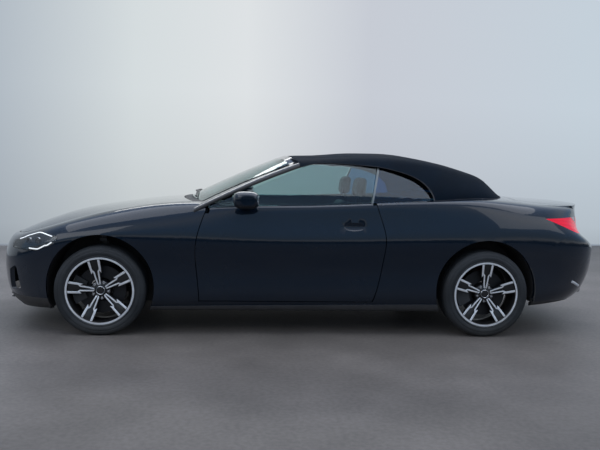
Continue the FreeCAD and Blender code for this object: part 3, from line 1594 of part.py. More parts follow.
def fuel_flap():
    """The flap on the right rear side with its hinge barrel, and the pocket that is cut for it."""
    x = station(flap_x_share)
    z = flap_z_share * deck_height
    outer_skin = wall_between(side_surface, pushed_in(side_surface, side_points, flap_wall))
    deep = pushed_in(side_surface, side_points, flap_pocket_depth)
    pocket_skin = wall_between(pushed_in(side_surface, side_points, -flap_wall), deep)
    flap = outer_skin.common(cylinder_y(flap_radius, x, -far, 0, z))
    pocket = pocket_skin.common(cylinder_y(flap_radius + flap_gap, x, -far, 0, z))
    hinge = Vector(x - flap_radius + flap_lip, -flap_hinge_out_share * half_width, z - flap_barrel_half)
    barrel = Part.makeCylinder(flap_barrel_radius, 2 * flap_barrel_half, hinge, ALONG_Z)
    return largest(flap.fuse(barrel.common(side_bulk))), largest(pocket)


def both(shape):
    return Part.makeCompound([shape, mirrored(shape)])


def build():
    skirt = side_skirt()
    fender = largest(front_fender().cut(skirt))
    lamp = headlamp()
    rear_side = largest(quarter().cut(skirt))
    flap, pocket = fuel_flap()
    rear_lamp = tail_lamp()
    panel = door()
    frame_side = largest(side_frame().cut(skirt))
    nose = front_bumper()
    tail = rear_bumper()
    for sign in (-1, 1):
        tail = tail.cut(tailpipe(tailpipe_hole, sign, tailpipe_front_x, far))
    tail = largest(tail)
    hood = bonnet()
    scuttle = cowl()
    deck = rear_deck()
    lid, inner_lamps = boot_lid()
    pane = windscreen()
    scuttle = scuttle.cut(pane).cut(fender).cut(mirrored(fender))
    scuttle = largest(scuttle)
    screen_frame = windscreen_frame()
    for trim in (fender, scuttle, moved(panel, 0, shut_gap, shut_gap)):
        screen_frame = screen_frame.cut(trim)
        screen_frame = screen_frame.cut(mirrored(trim))
    screen_frame = largest(screen_frame)
    lift = moved(side_bulk, 0, 0, seat_gap)
    cover, rear_pane = fabric_top(screen_frame, [screen_frame, lift, mirrored(lift), moved(deck_under, 0, 0, seat_gap)])
    glass = door_glass(panel)
    post = divider()
    side_pane = quarter_glass()
    post = largest(post.cut(lift))
    side_pane = largest(side_pane.cut(lift).cut(post))
    shell, arm = mirror()
    mirror_left = largest(shell.fuse(arm).cut(panel).cut(glass))
    front_carriage = front_axle()
    rear_carriage = rear_axle()
    front_liner = arch_liner(front_axle_x, front_well_y, [fender, nose, frame_side, front_carriage, skirt])
    rear_liner = arch_liner(rear_axle_x, rear_well_y, [rear_side, tail, frame_side, rear_carriage, skirt])

    for side, turn in (("left", lambda s: s), ("right", mirrored)):
        save("fender_" + side, turn(fender))
        save("quarter_" + side, turn(rear_side) if side == "left" else turn(rear_side.cut(pocket)))
        save("door_" + side, turn(panel))
        save("door_glass_" + side, turn(glass))
        save("mirror_" + side, turn(mirror_left))
        save("side_frame_" + side, turn(frame_side))
    save("fuel_flap", mirrored(flap))
    save("headlamps", both(lamp))
    save("tail_lamps", both(rear_lamp))
    save("side_skirts", both(skirt))
    save("window_dividers", both(post))
    save("quarter_glass", both(side_pane))
    save("arch_liners", Part.makeCompound([front_liner, mirrored(front_liner), rear_liner, mirrored(rear_liner)]))
    save("front_bumper", nose)
    save("rear_bumper", tail)
    save("grilles", grilles(nose))
    save("bonnet", hood)
    save("cowl", scuttle)
    save("rear_deck", deck)
    save("boot_lid", lid)
    save("lid_lamps", inner_lamps)
    save("windscreen", pane)
    save("windscreen_frame", screen_frame)
    save("soft_top", cover)
    save("rear_window", rear_pane)
    save("underbody", underbody())
    save("engine", engine())
    save("radiator", radiator())
    save("exhaust", exhaust())
    save("front_axle", front_carriage)
    save("rear_axle", rear_carriage)
    save("front_seats", front_seats())
    save("rear_seat", rear_seat())
    save("dashboard", dashboard())
    save("steering_wheel", steering_wheel())

    left_tyre, left_rim, left_knuckle = tyre(), rim(), front_knuckle()
    for corner, axle_x, wheel_y in (("front", front_axle_x, front_wheel_y), ("rear", rear_axle_x, rear_wheel_y)):
        for name, shape in (("tyre_", left_tyre), ("rim_", left_rim)):
            placed = moved(shape, axle_x, wheel_y, tyre_radius)
            save(name + corner + "_left", placed)
            save(name + corner + "_right", mirrored(placed))
    placed = moved(left_knuckle, front_axle_x, front_wheel_y, tyre_radius)
    save("knuckle_left", placed)
    save("knuckle_right", mirrored(placed))


if __name__ == "__main__":
    os.makedirs("parts", exist_ok=True)
    build()
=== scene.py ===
"""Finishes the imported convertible: paint, glass, fabric top, wheels, lamps, cabin and a studio."""
import json
import math

import bmesh
import bpy
from mathutils import Matrix, Vector
from mathutils.bvhtree import BVHTree

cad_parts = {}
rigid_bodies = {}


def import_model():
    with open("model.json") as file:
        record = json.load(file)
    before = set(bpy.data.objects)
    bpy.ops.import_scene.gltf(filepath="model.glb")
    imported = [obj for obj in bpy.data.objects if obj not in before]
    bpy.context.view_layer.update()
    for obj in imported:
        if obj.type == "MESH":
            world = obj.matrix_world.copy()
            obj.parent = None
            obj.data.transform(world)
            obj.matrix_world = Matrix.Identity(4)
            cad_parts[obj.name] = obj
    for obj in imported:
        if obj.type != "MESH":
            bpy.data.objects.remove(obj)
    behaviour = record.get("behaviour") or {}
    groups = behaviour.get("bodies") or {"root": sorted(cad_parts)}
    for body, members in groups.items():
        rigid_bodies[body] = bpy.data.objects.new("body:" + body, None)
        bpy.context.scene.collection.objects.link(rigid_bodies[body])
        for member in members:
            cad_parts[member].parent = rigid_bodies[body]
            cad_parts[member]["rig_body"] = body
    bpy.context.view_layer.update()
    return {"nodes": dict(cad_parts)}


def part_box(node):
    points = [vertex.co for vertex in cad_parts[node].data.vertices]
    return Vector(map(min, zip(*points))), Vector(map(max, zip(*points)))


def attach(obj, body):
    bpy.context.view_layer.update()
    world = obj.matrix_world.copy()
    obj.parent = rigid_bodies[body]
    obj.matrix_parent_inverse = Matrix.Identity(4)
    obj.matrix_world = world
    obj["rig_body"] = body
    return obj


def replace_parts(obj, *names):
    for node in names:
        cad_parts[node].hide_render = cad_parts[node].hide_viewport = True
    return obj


bl_info = {
    "name": "Convertible finish",
    "version": (1, 0, 0),
    "blender": (4, 5, 0),
    "location": "View3D > Sidebar > Car",
    "description": "Dresses the packed convertible in paint, glass, fabric, leather and metal",
    "category": "Object",
}

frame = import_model()

X_AXIS = Vector((1, 0, 0))
Y_AXIS = Vector((0, 1, 0))
Z_AXIS = Vector((0, 0, 1))
SIDES = (("left", 1), ("right", -1))
GROUPS, FINISHES = {}, {}


# Settings that a user would change


def colour_setting(name, description, default):
    return bpy.props.FloatVectorProperty(
        name=name, description=description, subtype="COLOR", size=3, min=0, max=1, default=default)


def length_setting(name, description, default, least, most):
    return bpy.props.FloatProperty(
        name=name, description=description, default=default, min=least, max=most, unit="LENGTH")


class PaintSettings(bpy.types.PropertyGroup):
    colour: colour_setting("Body Colour", "Base colour of the metallic paint", (0.0004, 0.0025, 0.0056))
    flake_colour: colour_setting("Flake Colour", "Colour that the metal flakes flash", (0.004, 0.015, 0.035))
    flake_size: bpy.props.FloatProperty(
        name="Flake Scale", description="How many flakes lie along one metre", default=1400, min=100, max=5000)
    edge_radius: length_setting("Panel Edge", "Radius that softens the edges of body panels", 0.0018, 0, 0.01)


class WheelSettings(bpy.types.PropertyGroup):
    spokes: bpy.props.IntProperty(
        name="Spoke Pairs", description="Number of double spokes in each wheel", default=5, min=3, max=10)
    face_colour: colour_setting("Machined Face", "Colour of the turned faces of the spokes", (0.80, 0.81, 0.83))
    pocket_colour: colour_setting(
        "Painted Pocket", "Colour of the painted parts of the wheel", (0.004, 0.004, 0.005))


class GlassSettings(bpy.types.PropertyGroup):
    tint: colour_setting("Tint", "Colour of the car's glazing", (0.34, 0.50, 0.50))
    lamp_red: colour_setting("Lamp Red", "Colour of the rear lamps' lenses", (0.80, 0.004, 0.030))


class TopSettings(bpy.types.PropertyGroup):
    colour: colour_setting("Fabric Colour", "Colour of the top's outer fabric", (0.0016, 0.0052, 0.0105))
    thread: length_setting("Thread Width", "Distance between the threads of the weave", 0.0016, 0.0005, 0.01)
    sag: length_setting("Sag", "How far the fabric sinks between its bows", 0.0035, 0, 0.02)


class CabinSettings(bpy.types.PropertyGroup):
    leather: colour_setting("Leather Colour", "Colour of the seats and door cards", (0.030, 0.032, 0.034))
    trim: colour_setting("Trim Colour", "Colour of the dashboard and the upper trim", (0.018, 0.018, 0.019))
    pad_swell: length_setting("Pad Swell", "How far a cushion may swell in its cover", 0.012, 0, 0.03)


class StageSettings(bpy.types.PropertyGroup):
    eye: bpy.props.FloatVectorProperty(
        name="Camera Place", description="Where the camera stands", subtype="TRANSLATION",
        size=3, default=(-0.543, -5.784, 1.236))
    turn: bpy.props.FloatVectorProperty(
        name="Camera Turn", description="Yaw, pitch and roll of the camera",
        subtype="EULER", size=3, default=(math.radians(-5.1), math.radians(-4.76), math.radians(1.4)))
    lens: bpy.props.FloatProperty(
        name="Lens", description="Focal length for a 36 mm wide frame", default=40.49, min=10, max=200)
    floor_colour: colour_setting("Floor Colour", "Colour of the studio floor", (0.126, 0.112, 0.101))
    wall_colour: colour_setting("Wall Colour", "Colour of the wall behind, at its palest", (0.73, 0.76, 0.78))


def settings(group):
    return getattr(bpy.context.scene, "car_" + group)


# Helpers for meshes and pieces

MERGE, WELD, SLIVER = 2e-5, 1e-6, 1e-5
RAY_SIDE, RAY_TOP = 1.2, 2.0


def link_piece(name, mesh, finish):
    """A new object that holds a bmesh, in the scene, with a finish or several by name."""
    data = bpy.data.meshes.new(name)
    mesh.to_mesh(data)
    mesh.free()
    piece = bpy.data.objects.new(name, data)
    bpy.context.scene.collection.objects.link(piece)
    for each in [finish] if isinstance(finish, str) else finish:
        data.materials.append(FINISHES[each])
    return piece


def sharpen(mesh, angle):
    """Marks a bmesh smooth, with its sharp edges kept."""
    limit = math.radians(angle)
    for face in mesh.faces:
        face.smooth = True
    for edge in mesh.edges:
        edge.smooth = edge.calc_face_angle(math.pi) < limit


def finished(name, mesh, finish, body, angle=35):
    """A piece from a bmesh: normals outwards, sharp edges kept, riding on its body."""
    bmesh.ops.remove_doubles(mesh, verts=mesh.verts, dist=WELD)
    bmesh.ops.recalc_face_normals(mesh, faces=mesh.faces)
    sharpen(mesh, angle)
    piece = link_piece(name, mesh, finish)
    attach(piece, body)
    return piece


def body_of(node):
    return frame["nodes"][node]["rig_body"]


def cad_data(node):
    return frame["nodes"][node].data


def copy_mesh(node):
    """A merged bmesh copy of a CAD node, free of its stored normals."""
    mesh = bmesh.new()
    mesh.from_mesh(cad_data(node))
    for layer in list(mesh.loops.layers.float_vector):
        mesh.loops.layers.float_vector.remove(layer)
    bmesh.ops.remove_doubles(mesh, verts=mesh.verts, dist=MERGE)
    return mesh


def refine(node, finish, angle=28, bevel=0.0, pick=None, border=None):
    """A smooth copy of a CAD node that stands for it; pick gives a face's place in the list of finishes,
    and border is a place and a direction of the plane that parts two finishes."""
    mesh = copy_mesh(node)
    if border:
        bmesh.ops.bisect_plane(
            mesh, geom=mesh.verts[:] + mesh.edges[:] + mesh.faces[:], dist=WELD, plane_co=border[0],
            plane_no=border[1])
    bmesh.ops.dissolve_degenerate(mesh, dist=SLIVER, edges=mesh.edges)
    sharpen(mesh, angle)
    if pick:
        mesh.normal_update()
        for face in mesh.faces:
            face.material_index = int(pick(face))
    piece = link_piece(node + "_finish", mesh, finish)
    stored = piece.data.attributes.get("custom_normal")
    if stored:
        piece.data.attributes.remove(stored)
    if bevel:
        edge = piece.modifiers.new("Soft Edges", "BEVEL")
        edge.width = bevel
        edge.segments = 2
        edge.limit_method = "ANGLE"
        edge.angle_limit = math.radians(50)
        edge.use_clamp_overlap = True
        edge.harden_normals = True
    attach(piece, body_of(node))
    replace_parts(piece, node)
    return piece


def paint_node(node, finish):
    """Gives a CAD node that stays a finish."""
    data = cad_data(node)
    data.materials.clear()
    data.materials.append(FINISHES[finish])


def tree_from(data):
    """A tree for casting rays at a mesh."""
    return BVHTree.FromPolygons([v.co for v in data.vertices], [tuple(p.vertices) for p in data.polygons])


def side_hit(tree, x, z, way):
    """Where a ray from the car's side meets a tree, and which way the surface faces there."""
    return tree.ray_cast(Vector((x, way * RAY_SIDE, z)), Vector((0, -way, 0)))[:2]


def rod(points, radius, steps=2):
    """A bmesh of a round rod along a smooth curve through points."""
    line = bpy.data.curves.new("line", "CURVE")
    line.dimensions = "3D"
    line.bevel_depth = radius
    line.bevel_resolution = steps
    line.use_fill_caps = True
    spline = line.splines.new("NURBS")
    spline.points.add(len(points) - 1)
    for spot, point in zip(spline.points, points):
        spot.co = (*point, 1)
    spline.order_u = 3
    spline.use_endpoint_u = True
    spline.resolution_u = 2
    holder = bpy.data.objects.new("line", line)
    data = bpy.data.meshes.new_from_object(holder)
    mesh = bmesh.new()
    mesh.from_mesh(data)
    bpy.data.objects.remove(holder)
    bpy.data.curves.remove(line)
    bpy.data.meshes.remove(data)
    return mesh


def box_mesh(low, high):
    """A bmesh of a box between two corners."""
    mesh = bmesh.new()
    size = Vector(high) - Vector(low)
    middle = (Vector(high) + Vector(low)) / 2
    place = Matrix.Translation(middle) @ Matrix.Diagonal((size.x, size.y, size.z, 1))
    bmesh.ops.create_cube(mesh, size=1, matrix=place)
    return mesh


def soften(mesh, width, segments=3, edges=None):
    """Rounds a bmesh's edges."""
    bmesh.ops.bevel(
        mesh, geom=edges or mesh.edges, offset=width, segments=segments, affect="EDGES",
        profile=0.5, material=-1, clamp_overlap=True)


def soft_box(low, high, width, segments=2):
    mesh = box_mesh(low, high)
    soften(mesh, width, segments)
    return mesh


def joined(meshes):
    """One bmesh from several."""
    whole = bmesh.new()
    for mesh in meshes:
        data = bpy.data.meshes.new("part")
        mesh.to_mesh(data)
        mesh.free()
        whole.from_mesh(data)
        bpy.data.meshes.remove(data)
    return whole


def spun(profile, centre, axis, steps, closed=True):
    """A bmesh of a profile of (along, radius) points turned about an axis through a centre."""
    mesh = bmesh.new()
    along = Vector(axis)
    out = Z_AXIS if abs(along.z) < 0.5 else X_AXIS
    corners = [mesh.verts.new(Vector(centre) + along * a + out * r) for a, r in profile]
    pairs = list(zip(corners, corners[1:]))
    if closed:
        pairs.append((corners[-1], corners[0]))
    edges = [mesh.edges.new(pair) for pair in pairs]
    bmesh.ops.spin(
        mesh, geom=corners + edges, cent=centre, axis=along, angle=math.tau, steps=steps,
        use_merge=True)
    bmesh.ops.remove_doubles(mesh, verts=mesh.verts, dist=WELD)
    return mesh


def new_verts(made):
    """The vertices among what a bmesh operator made."""
    return [v for v in made["geom"] if isinstance(v, bmesh.types.BMVert)]


def prism(outline, direction, depth):
    """A bmesh of a flat outline of points pushed along a direction."""
    mesh = bmesh.new()
    face = mesh.faces.new([mesh.verts.new(point) for point in outline])
    pushed = bmesh.ops.extrude_face_region(mesh, geom=[face])
    bmesh.ops.translate(mesh, verts=new_verts(pushed), vec=Vector(direction) * depth)
    bmesh.ops.recalc_face_normals(mesh, faces=mesh.faces)
    return mesh


def mirror_copy(mesh, scale=(1, -1, 1)):
    """A copy of a bmesh on the car's other side."""
    other = mesh.copy()
    bmesh.ops.scale(other, vec=scale, verts=other.verts)
    bmesh.ops.reverse_faces(other, faces=other.faces)
    return other


# Helpers for nodes


def add(tree, kind, **values):
    """A node with its properties set and its inputs linked or filled in."""
    node = tree.nodes.new("ShaderNode" + kind)
    for name, value in values.items():
        if name.startswith("in_"):
            key = name[3:]
            fill(tree, node.inputs[int(key)] if key.isdigit() else node.inputs[key.replace("_", " ")], value)
        else:
            setattr(node, name, value)
    return node


def fill(tree, socket, value):
    """Links a socket to an output, or sets it to a plain value."""
    if isinstance(value, bpy.types.NodeSocket):
        tree.links.new(value, socket)
    else:
        socket.default_value = value


def wire(tree, node, **sockets):
    """Fills a node's inputs by name."""
    for key, value in sockets.items():
        fill(tree, node.inputs[key.replace("_", " ")], value)


def ramp(tree, factor, stops):
    """A colour ramp through (place, colour) stops; a plain number stands for a grey."""
    node = tree.nodes.new("ShaderNodeValToRGB")
    while len(node.color_ramp.elements) < len(stops):
        node.color_ramp.elements.new(0.5)
    for element, (place, colour) in zip(node.color_ramp.elements, stops):
        element.position = place
        element.color = rgba([colour] * 3 if isinstance(colour, float) else colour)
    tree.links.new(factor, node.inputs["Fac"])
    return node.outputs["Color"]


def rgba(colour):
    return (*colour, 1)


def object_place(tree):
    return add(tree, "TexCoord").outputs["Object"]


def noise(tree, place, scale, **more):
    """The value of a cloudy noise at a place."""
    return add(tree, "TexNoise", in_Vector=place, in_Scale=scale, **more).outputs["Fac"]


def spread(tree, value, low, high):
    """A share spread between low and high."""
    return add(tree, "MapRange", in_Value=value, in_3=low, in_4=high).outputs["Result"]


def share_of(tree, value, first, last):
    """How far a value has come from first to last."""
    return add(tree, "MapRange", in_Value=value, in_1=first, in_2=last).outputs["Result"]


def reckon(tree, operation, *values, **more):
    """The result of a Math node."""
    inputs = {"in_%d" % k: value for k, value in enumerate(values)}
    return add(tree, "Math", operation=operation, **inputs, **more).outputs[0]


def blend(tree, factor, first, second, mode="MIX"):
    """Two colours mixed, or multiplied where mode says so."""
    node = add(tree, "Mix", data_type="RGBA", blend_type=mode, in_0=factor, in_6=first, in_7=second)
    return node.outputs[2]


def multiply(tree, first, second):
    return blend(tree, 1.0, first, second, "MULTIPLY")


def bump(tree, shader, height, distance, strength=1.0):
    node = add(tree, "Bump", in_Height=height, in_Distance=distance, in_Strength=strength)
    wire(tree, shader, Normal=node.outputs["Normal"])


# Node groups that several finishes share


def node_group(name, inputs, outputs):
    group = bpy.data.node_groups.new(name, "ShaderNodeTree")
    for label, kind, value in inputs:
        socket = group.interface.new_socket(label, in_out="INPUT", socket_type="NodeSocket" + kind)
        socket.default_value = value
    for label, kind in outputs:
        group.interface.new_socket(label, in_out="OUTPUT", socket_type="NodeSocket" + kind)
    entry = group.nodes.new("NodeGroupInput")
    leave = group.nodes.new("NodeGroupOutput")
    GROUPS[name] = group
    return group, entry.outputs, leave


def make_flake_group():
    group, entry, leave = node_group(
        "Paint Flake",
        [("Base", "Color", (0, 0, 0, 1)), ("Flake", "Color", (1, 1, 1, 1)), ("Scale", "Float", 1000.0)],
        [("Color", "Color"), ("Roughness", "Float")])
    place = object_place(group)
    cells = add(group, "TexVoronoi", in_Vector=place, in_Scale=entry["Scale"])
    shine = reckon(group, "POWER", cells.outputs["Distance"], 1.6)
    cloud = noise(group, place, 2.2, in_Detail=3.0)
    wire(group, leave, Color=blend(group, shine, entry["Base"], entry["Flake"]),
         Roughness=spread(group, cloud, 0.20, 0.32))


def make_grain_group():
    group, entry, leave = node_group(
        "Moulded Grain",
        [("Scale", "Float", 900.0), ("Low", "Float", 0.4), ("High", "Float", 0.6)],
        [("Height", "Float"), ("Roughness", "Float"), ("Tone", "Float")])
    place = object_place(group)
    cells = add(group, "TexVoronoi", feature="SMOOTH_F1", in_Vector=place, in_Scale=entry["Scale"])
    cloud = noise(group, place, 6.0, in_Detail=4.0)
    wire(group, leave, Height=cells.outputs["Distance"],
         Roughness=spread(group, cloud, entry["Low"], entry["High"]), Tone=cloud)


def make_weave_group():
    group, entry, leave = node_group(
        "Cloth Weave",
        [("Thread", "Float", 0.0016), ("Colour", "Color", (0.1, 0.1, 0.1, 1))],
        [("Height", "Float"), ("Color", "Color"), ("Roughness", "Float")])
    place = object_place(group)
    count = reckon(group, "DIVIDE", math.pi, entry["Thread"])
    spot = add(group, "SeparateXYZ", in_0=place)
    waves = [reckon(group, "SINE", reckon(group, "MULTIPLY", spot.outputs[axis], count)) for axis in "XY"]
    high = share_of(group, reckon(group, "MULTIPLY", *waves), -1.0, 1.0)
    cloud = noise(group, place, 4.0, in_Detail=5.0)
    fuzz = noise(group, place, 700.0, in_Detail=2.0)
    both = reckon(group, "MULTIPLY_ADD", fuzz, 0.5, high)
    # Painted shade: the weave is painted darker in the dips between its threads and lighter on their tops, and cloudy
    # tone that differs at random is laid over that
    dark = multiply(group, entry["Colour"], ramp(group, both, [(0.1, 0.45), (1.0, 1.35)]))
    aged_and_shaded_weave = multiply(group, dark, ramp(group, cloud, [(0.3, 0.8), (0.7, (1.25, 1.25, 1.28))]))
    wire(group, leave, Height=both, Color=aged_and_shaded_weave, Roughness=spread(group, cloud, 0.82, 0.97))


def make_dust_group():
    group, entry, leave = node_group(
        "Road Dust",
        [("Color", "Color", (0, 0, 0, 1)), ("Dust", "Color", (0.25, 0.23, 0.20, 1)), ("Amount", "Float", 0.15),
         ("Top", "Float", 0.5)],
        [("Color", "Color")])
    place = object_place(group)
    spot = add(group, "SeparateXYZ", in_0=place)
    low = add(group, "MapRange", in_Value=spot.outputs["Z"], in_1=0.05, in_2=entry["Top"], in_3=1.0, in_4=0.0)
    patch = reckon(group, "MULTIPLY", low.outputs[0], noise(group, place, 14.0, in_Detail=6.0))
    mask = reckon(group, "MULTIPLY", patch, entry["Amount"], use_clamp=True)
    wire(group, leave, Color=blend(group, mask, entry["Color"], entry["Dust"]))


def make_turned_group():
    group, entry, leave = node_group(
        "Turned Metal",
        [("Colour", "Color", (0.6, 0.6, 0.6, 1))],
        [("Height", "Float"), ("Color", "Color"), ("Roughness", "Float")])
    place = object_place(group)
    fine = noise(group, place, 260.0, in_Detail=3.0)
    cloud = noise(group, place, 18.0, in_Detail=3.0)
    tone = multiply(group, entry["Colour"], ramp(group, cloud, [(0.3, 0.88), (0.7, 1.1)]))
    wire(group, leave, Height=fine, Color=tone, Roughness=spread(group, cloud, 0.28, 0.40))


# Finishes


def use_group(tree, name, **values):
    """The outputs of a shared node group."""
    node = tree.nodes.new("ShaderNodeGroup")
    node.node_tree = GROUPS[name]
    wire(tree, node, **values)
    return node.outputs


def new_finish(name, **sockets):
    """A material with plain values on the Principled shader's own sockets."""
    material = bpy.data.materials.new(name)
    material.use_nodes = True
    tree = material.node_tree
    shader = tree.nodes["Principled BSDF"]
    wire(tree, shader, **sockets)
    FINISHES[name] = material
    return tree, shader


def grained(name, colour, scale, low, high, depth, dust=0.0, dust_top=0.5, **sockets):
    """A moulded or grained finish with its tone broken up a little."""
    tree, shader = new_finish(name, **sockets)
    grain = use_group(tree, "Moulded Grain", Scale=scale, Low=low, High=high)
    tone = ramp(tree, grain["Tone"], [
        (0.3, [c * 0.82 for c in colour]), (0.7, [min(1, c * 1.18) for c in colour])])
    if dust:
        tone = use_group(tree, "Road Dust", Color=tone, Amount=dust, Top=dust_top)["Color"]
    wire(tree, shader, Base_Color=tone, Roughness=grain["Roughness"])
    bump(tree, shader, grain["Height"], depth)


def make_paint(paint):
    tree, shader = new_finish(
        "Body Paint", Metallic=0.15, Specular_IOR_Level=0.15, Coat_Weight=1.0, Coat_Roughness=0.02, Coat_IOR=1.42)
    flakes = use_group(
        tree, "Paint Flake", Base=rgba(paint.colour), Flake=rgba(paint.flake_colour), Scale=paint.flake_size)
    dusty = use_group(tree, "Road Dust", Color=flakes["Color"], Amount=0.05, Top=0.55)
    wire(tree, shader, Base_Color=dusty["Color"], Roughness=flakes["Roughness"])


def make_gloss_black():
    tree, shader = new_finish("Gloss Black", Coat_Weight=1.0, Coat_Roughness=0.03, Specular_IOR_Level=0.5)
    grain = use_group(tree, "Moulded Grain", Scale=60.0, Low=0.12, High=0.24)
    tone = ramp(tree, grain["Tone"], [(0.3, (0.006, 0.006, 0.007)), (0.7, (0.010, 0.010, 0.011))])
    wire(tree, shader, Base_Color=tone, Roughness=grain["Roughness"])


def make_glass(name, tint, roughness=0.0, **sockets):
    tree, shader = new_finish(
        name, Base_Color=rgba(tint), Transmission_Weight=1.0, IOR=1.45, Roughness=roughness, **sockets)
    cloud = noise(tree, object_place(tree), 1.5, in_Detail=2.0)
    wire(tree, shader, Roughness=spread(tree, cloud, roughness, roughness + 0.03))


def make_turned_face(colour):
    tree, shader = new_finish("Turned Face", Metallic=0.45)
    turned = use_group(tree, "Turned Metal", Colour=rgba(colour))
    wire(tree, shader, Base_Color=turned["Color"], Roughness=turned["Roughness"])
    bump(tree, shader, turned["Height"], 0.00004)


def make_tyre_finish():
    tree, shader = new_finish("Tyre Rubber", Specular_IOR_Level=0.35)
    grain = use_group(tree, "Moulded Grain", Scale=650.0, Low=0.58, High=0.74)
    tone = ramp(tree, grain["Tone"], [(0.3, (0.014, 0.016, 0.018)), (0.7, (0.030, 0.033, 0.037))])
    dusty = use_group(tree, "Road Dust", Color=tone, Amount=0.15, Top=0.16)
    wire(tree, shader, Base_Color=dusty["Color"], Roughness=grain["Roughness"])
    bump(tree, shader, grain["Height"], 0.0003)


def make_red_lamp(red):
    """A red lens with fine level lines, which glows a little."""
    tree, shader = new_finish(
        "Red Lamp", Coat_Weight=0.2, Coat_Roughness=0.02, Specular_IOR_Level=0.15, Emission_Strength=0.38)
    place = object_place(tree)
    spot = add(tree, "SeparateXYZ", in_0=place)
    lines = reckon(tree, "SINE", reckon(tree, "MULTIPLY", spot.outputs["Z"], 620.0))
    tone = ramp(tree, share_of(tree, lines, -1.0, 1.0), [
        (0.2, (red[0] * 0.62, red[1] * 0.6, red[2] * 0.6)), (0.8, tuple(red))])
    wire(tree, shader, Base_Color=tone, Emission_Color=tone,
         Roughness=spread(tree, noise(tree, place, 30.0), 0.12, 0.25))


def make_lamp_light():
    """The milky light guides of a headlamp, which glow a little."""
    tree, shader = new_finish("Lamp Light", Emission_Strength=0.9, Roughness=0.3)
    cloud = noise(tree, object_place(tree), 90.0)
    tone = ramp(tree, cloud, [(0.3, (0.72, 0.76, 0.80)), (0.7, (0.86, 0.89, 0.92))])
    wire(tree, shader, Base_Color=tone, Emission_Color=tone)


def make_fabric(name, colour, thread, depth, strength, **sockets):
    tree, shader = new_finish(name, **sockets)
    weave = use_group(tree, "Cloth Weave", Thread=thread, Colour=rgba(colour))
    wire(tree, shader, Base_Color=weave["Color"], Roughness=weave["Roughness"])
    bump(tree, shader, weave["Height"], depth, strength)


def make_finishes():
    """All node groups and materials of the car."""
    for make_group in (make_flake_group, make_grain_group, make_weave_group, make_dust_group, make_turned_group):
        make_group()
    wheel, glass, top, cabin = (settings(name) for name in ("wheel", "glass", "top", "cabin"))
    make_paint(settings("paint"))
    make_gloss_black()
    # Name, colour, grain to the metre, least and most roughness, depth of the grain
    grained("Satin Black", (0.020, 0.020, 0.022), 500.0, 0.38, 0.52, 0.0001, dust=0.25)
    grained("Skirt Grey", (0.050, 0.054, 0.062), 500.0, 0.30, 0.42, 0.0001, dust=0.35, dust_top=0.30,
            Metallic=0.3, Coat_Weight=0.4, Coat_Roughness=0.15)
    grained("Rough Plastic", (0.022, 0.022, 0.023), 1200.0, 0.55, 0.75, 0.0003, dust=0.3)
    grained("Rubber", (0.016, 0.016, 0.017), 800.0, 0.55, 0.72, 0.0002)
    grained("Underbody", (0.020, 0.020, 0.021), 260.0, 0.7, 0.9, 0.0005, dust=0.4)
    grained("Cabin Trim", cabin.trim, 1100.0, 0.55, 0.7, 0.0003)
    grained("Wheel Leather", cabin.trim, 800.0, 0.34, 0.46, 0.0003, Coat_Weight=0.1, Coat_Roughness=0.3)
    grained("Reflector", (0.62, 0.63, 0.65), 200.0, 0.20, 0.30, 0.00003, Metallic=0.2, Coat_Weight=0.5)
    grained("Divider Trim", (0.11, 0.125, 0.13), 400.0, 0.28, 0.40, 0.00003, Metallic=0.7)
    grained("Leather", cabin.leather, 700.0, 0.38, 0.55, 0.0004, Coat_Weight=0.15, Coat_Roughness=0.3)
    grained("Carpet", (0.03, 0.03, 0.032), 900.0, 0.85, 0.98, 0.0012)
    # Painted shade: the brake disc, the brake caliper and the cast metal are painted near black for the shade they sit
    # in behind the wheels and under the car
    grained("Shaded Brake Disc", (0.030, 0.030, 0.032), 300.0, 0.40, 0.55, 0.0001, Metallic=0.8)
    grained("Shaded Brake Caliper", (0.030, 0.031, 0.033), 400.0, 0.4, 0.55, 0.0002, Metallic=0.3)
    grained("Shaded Cast Metal", (0.060, 0.061, 0.064), 300.0, 0.45, 0.65, 0.0004, Metallic=0.6)
    grained("Bright Trim", (0.66, 0.67, 0.69), 300.0, 0.12, 0.22, 0.00002, Metallic=1.0)
    grained("Satin Trim", (0.55, 0.56, 0.58), 500.0, 0.26, 0.36, 0.00003, Metallic=1.0)
    grained("Wheel Pocket", wheel.pocket_colour, 300.0, 0.30, 0.42, 0.00003, dust=0.04, Coat_Weight=0.25,
            Coat_Roughness=0.10)
    grained("Mirror Glass", (0.75, 0.77, 0.80), 50.0, 0.02, 0.04, 0.0, Metallic=1.0)
    grained("Lamp Reflector", (0.045, 0.050, 0.055), 120.0, 0.16, 0.28, 0.0, Metallic=0.9)
    make_turned_face(wheel.face_colour)
    make_tyre_finish()
    make_glass("Window Glass", glass.tint)
    make_glass("Quarter Glass", (0.05, 0.21, 0.38), Specular_IOR_Level=0.22)
    make_glass("Smoked Lens", (0.55, 0.60, 0.66), 0.02)
    make_glass("Lamp Glass", (0.94, 0.95, 0.96))
    make_red_lamp(glass.lamp_red)
    make_lamp_light()
    make_fabric("Top Fabric", top.colour, top.thread, 0.0005, 0.8,
                Sheen_Weight=0.03, Sheen_Roughness=0.5, Specular_IOR_Level=0.08)
    make_fabric("Top Lining", (0.05, 0.05, 0.055), top.thread * 1.4, 0.0004, 0.6,
                Sheen_Weight=0.2, Specular_IOR_Level=0.2)


# Operators, one for each piece or group of like pieces


class CarOperator:
    bl_options = {"REGISTER", "UNDO"}

    def execute(self, context):
        self.make()
        return {"FINISHED"}


class CAR_OT_finishes(CarOperator, bpy.types.Operator):
    """Make the shared node groups and materials"""
    bl_idname = "car.finishes"
    bl_label = "Finishes"

    def make(self):
        make_finishes()


def faces_cabin(face):
    """True for the side of a door that faces the cabin."""
    middle = face.calc_center_median()
    return face.normal.y * middle.y < -0.55 * abs(middle.y) and abs(middle.y) < 0.86 and middle.z > 0.30


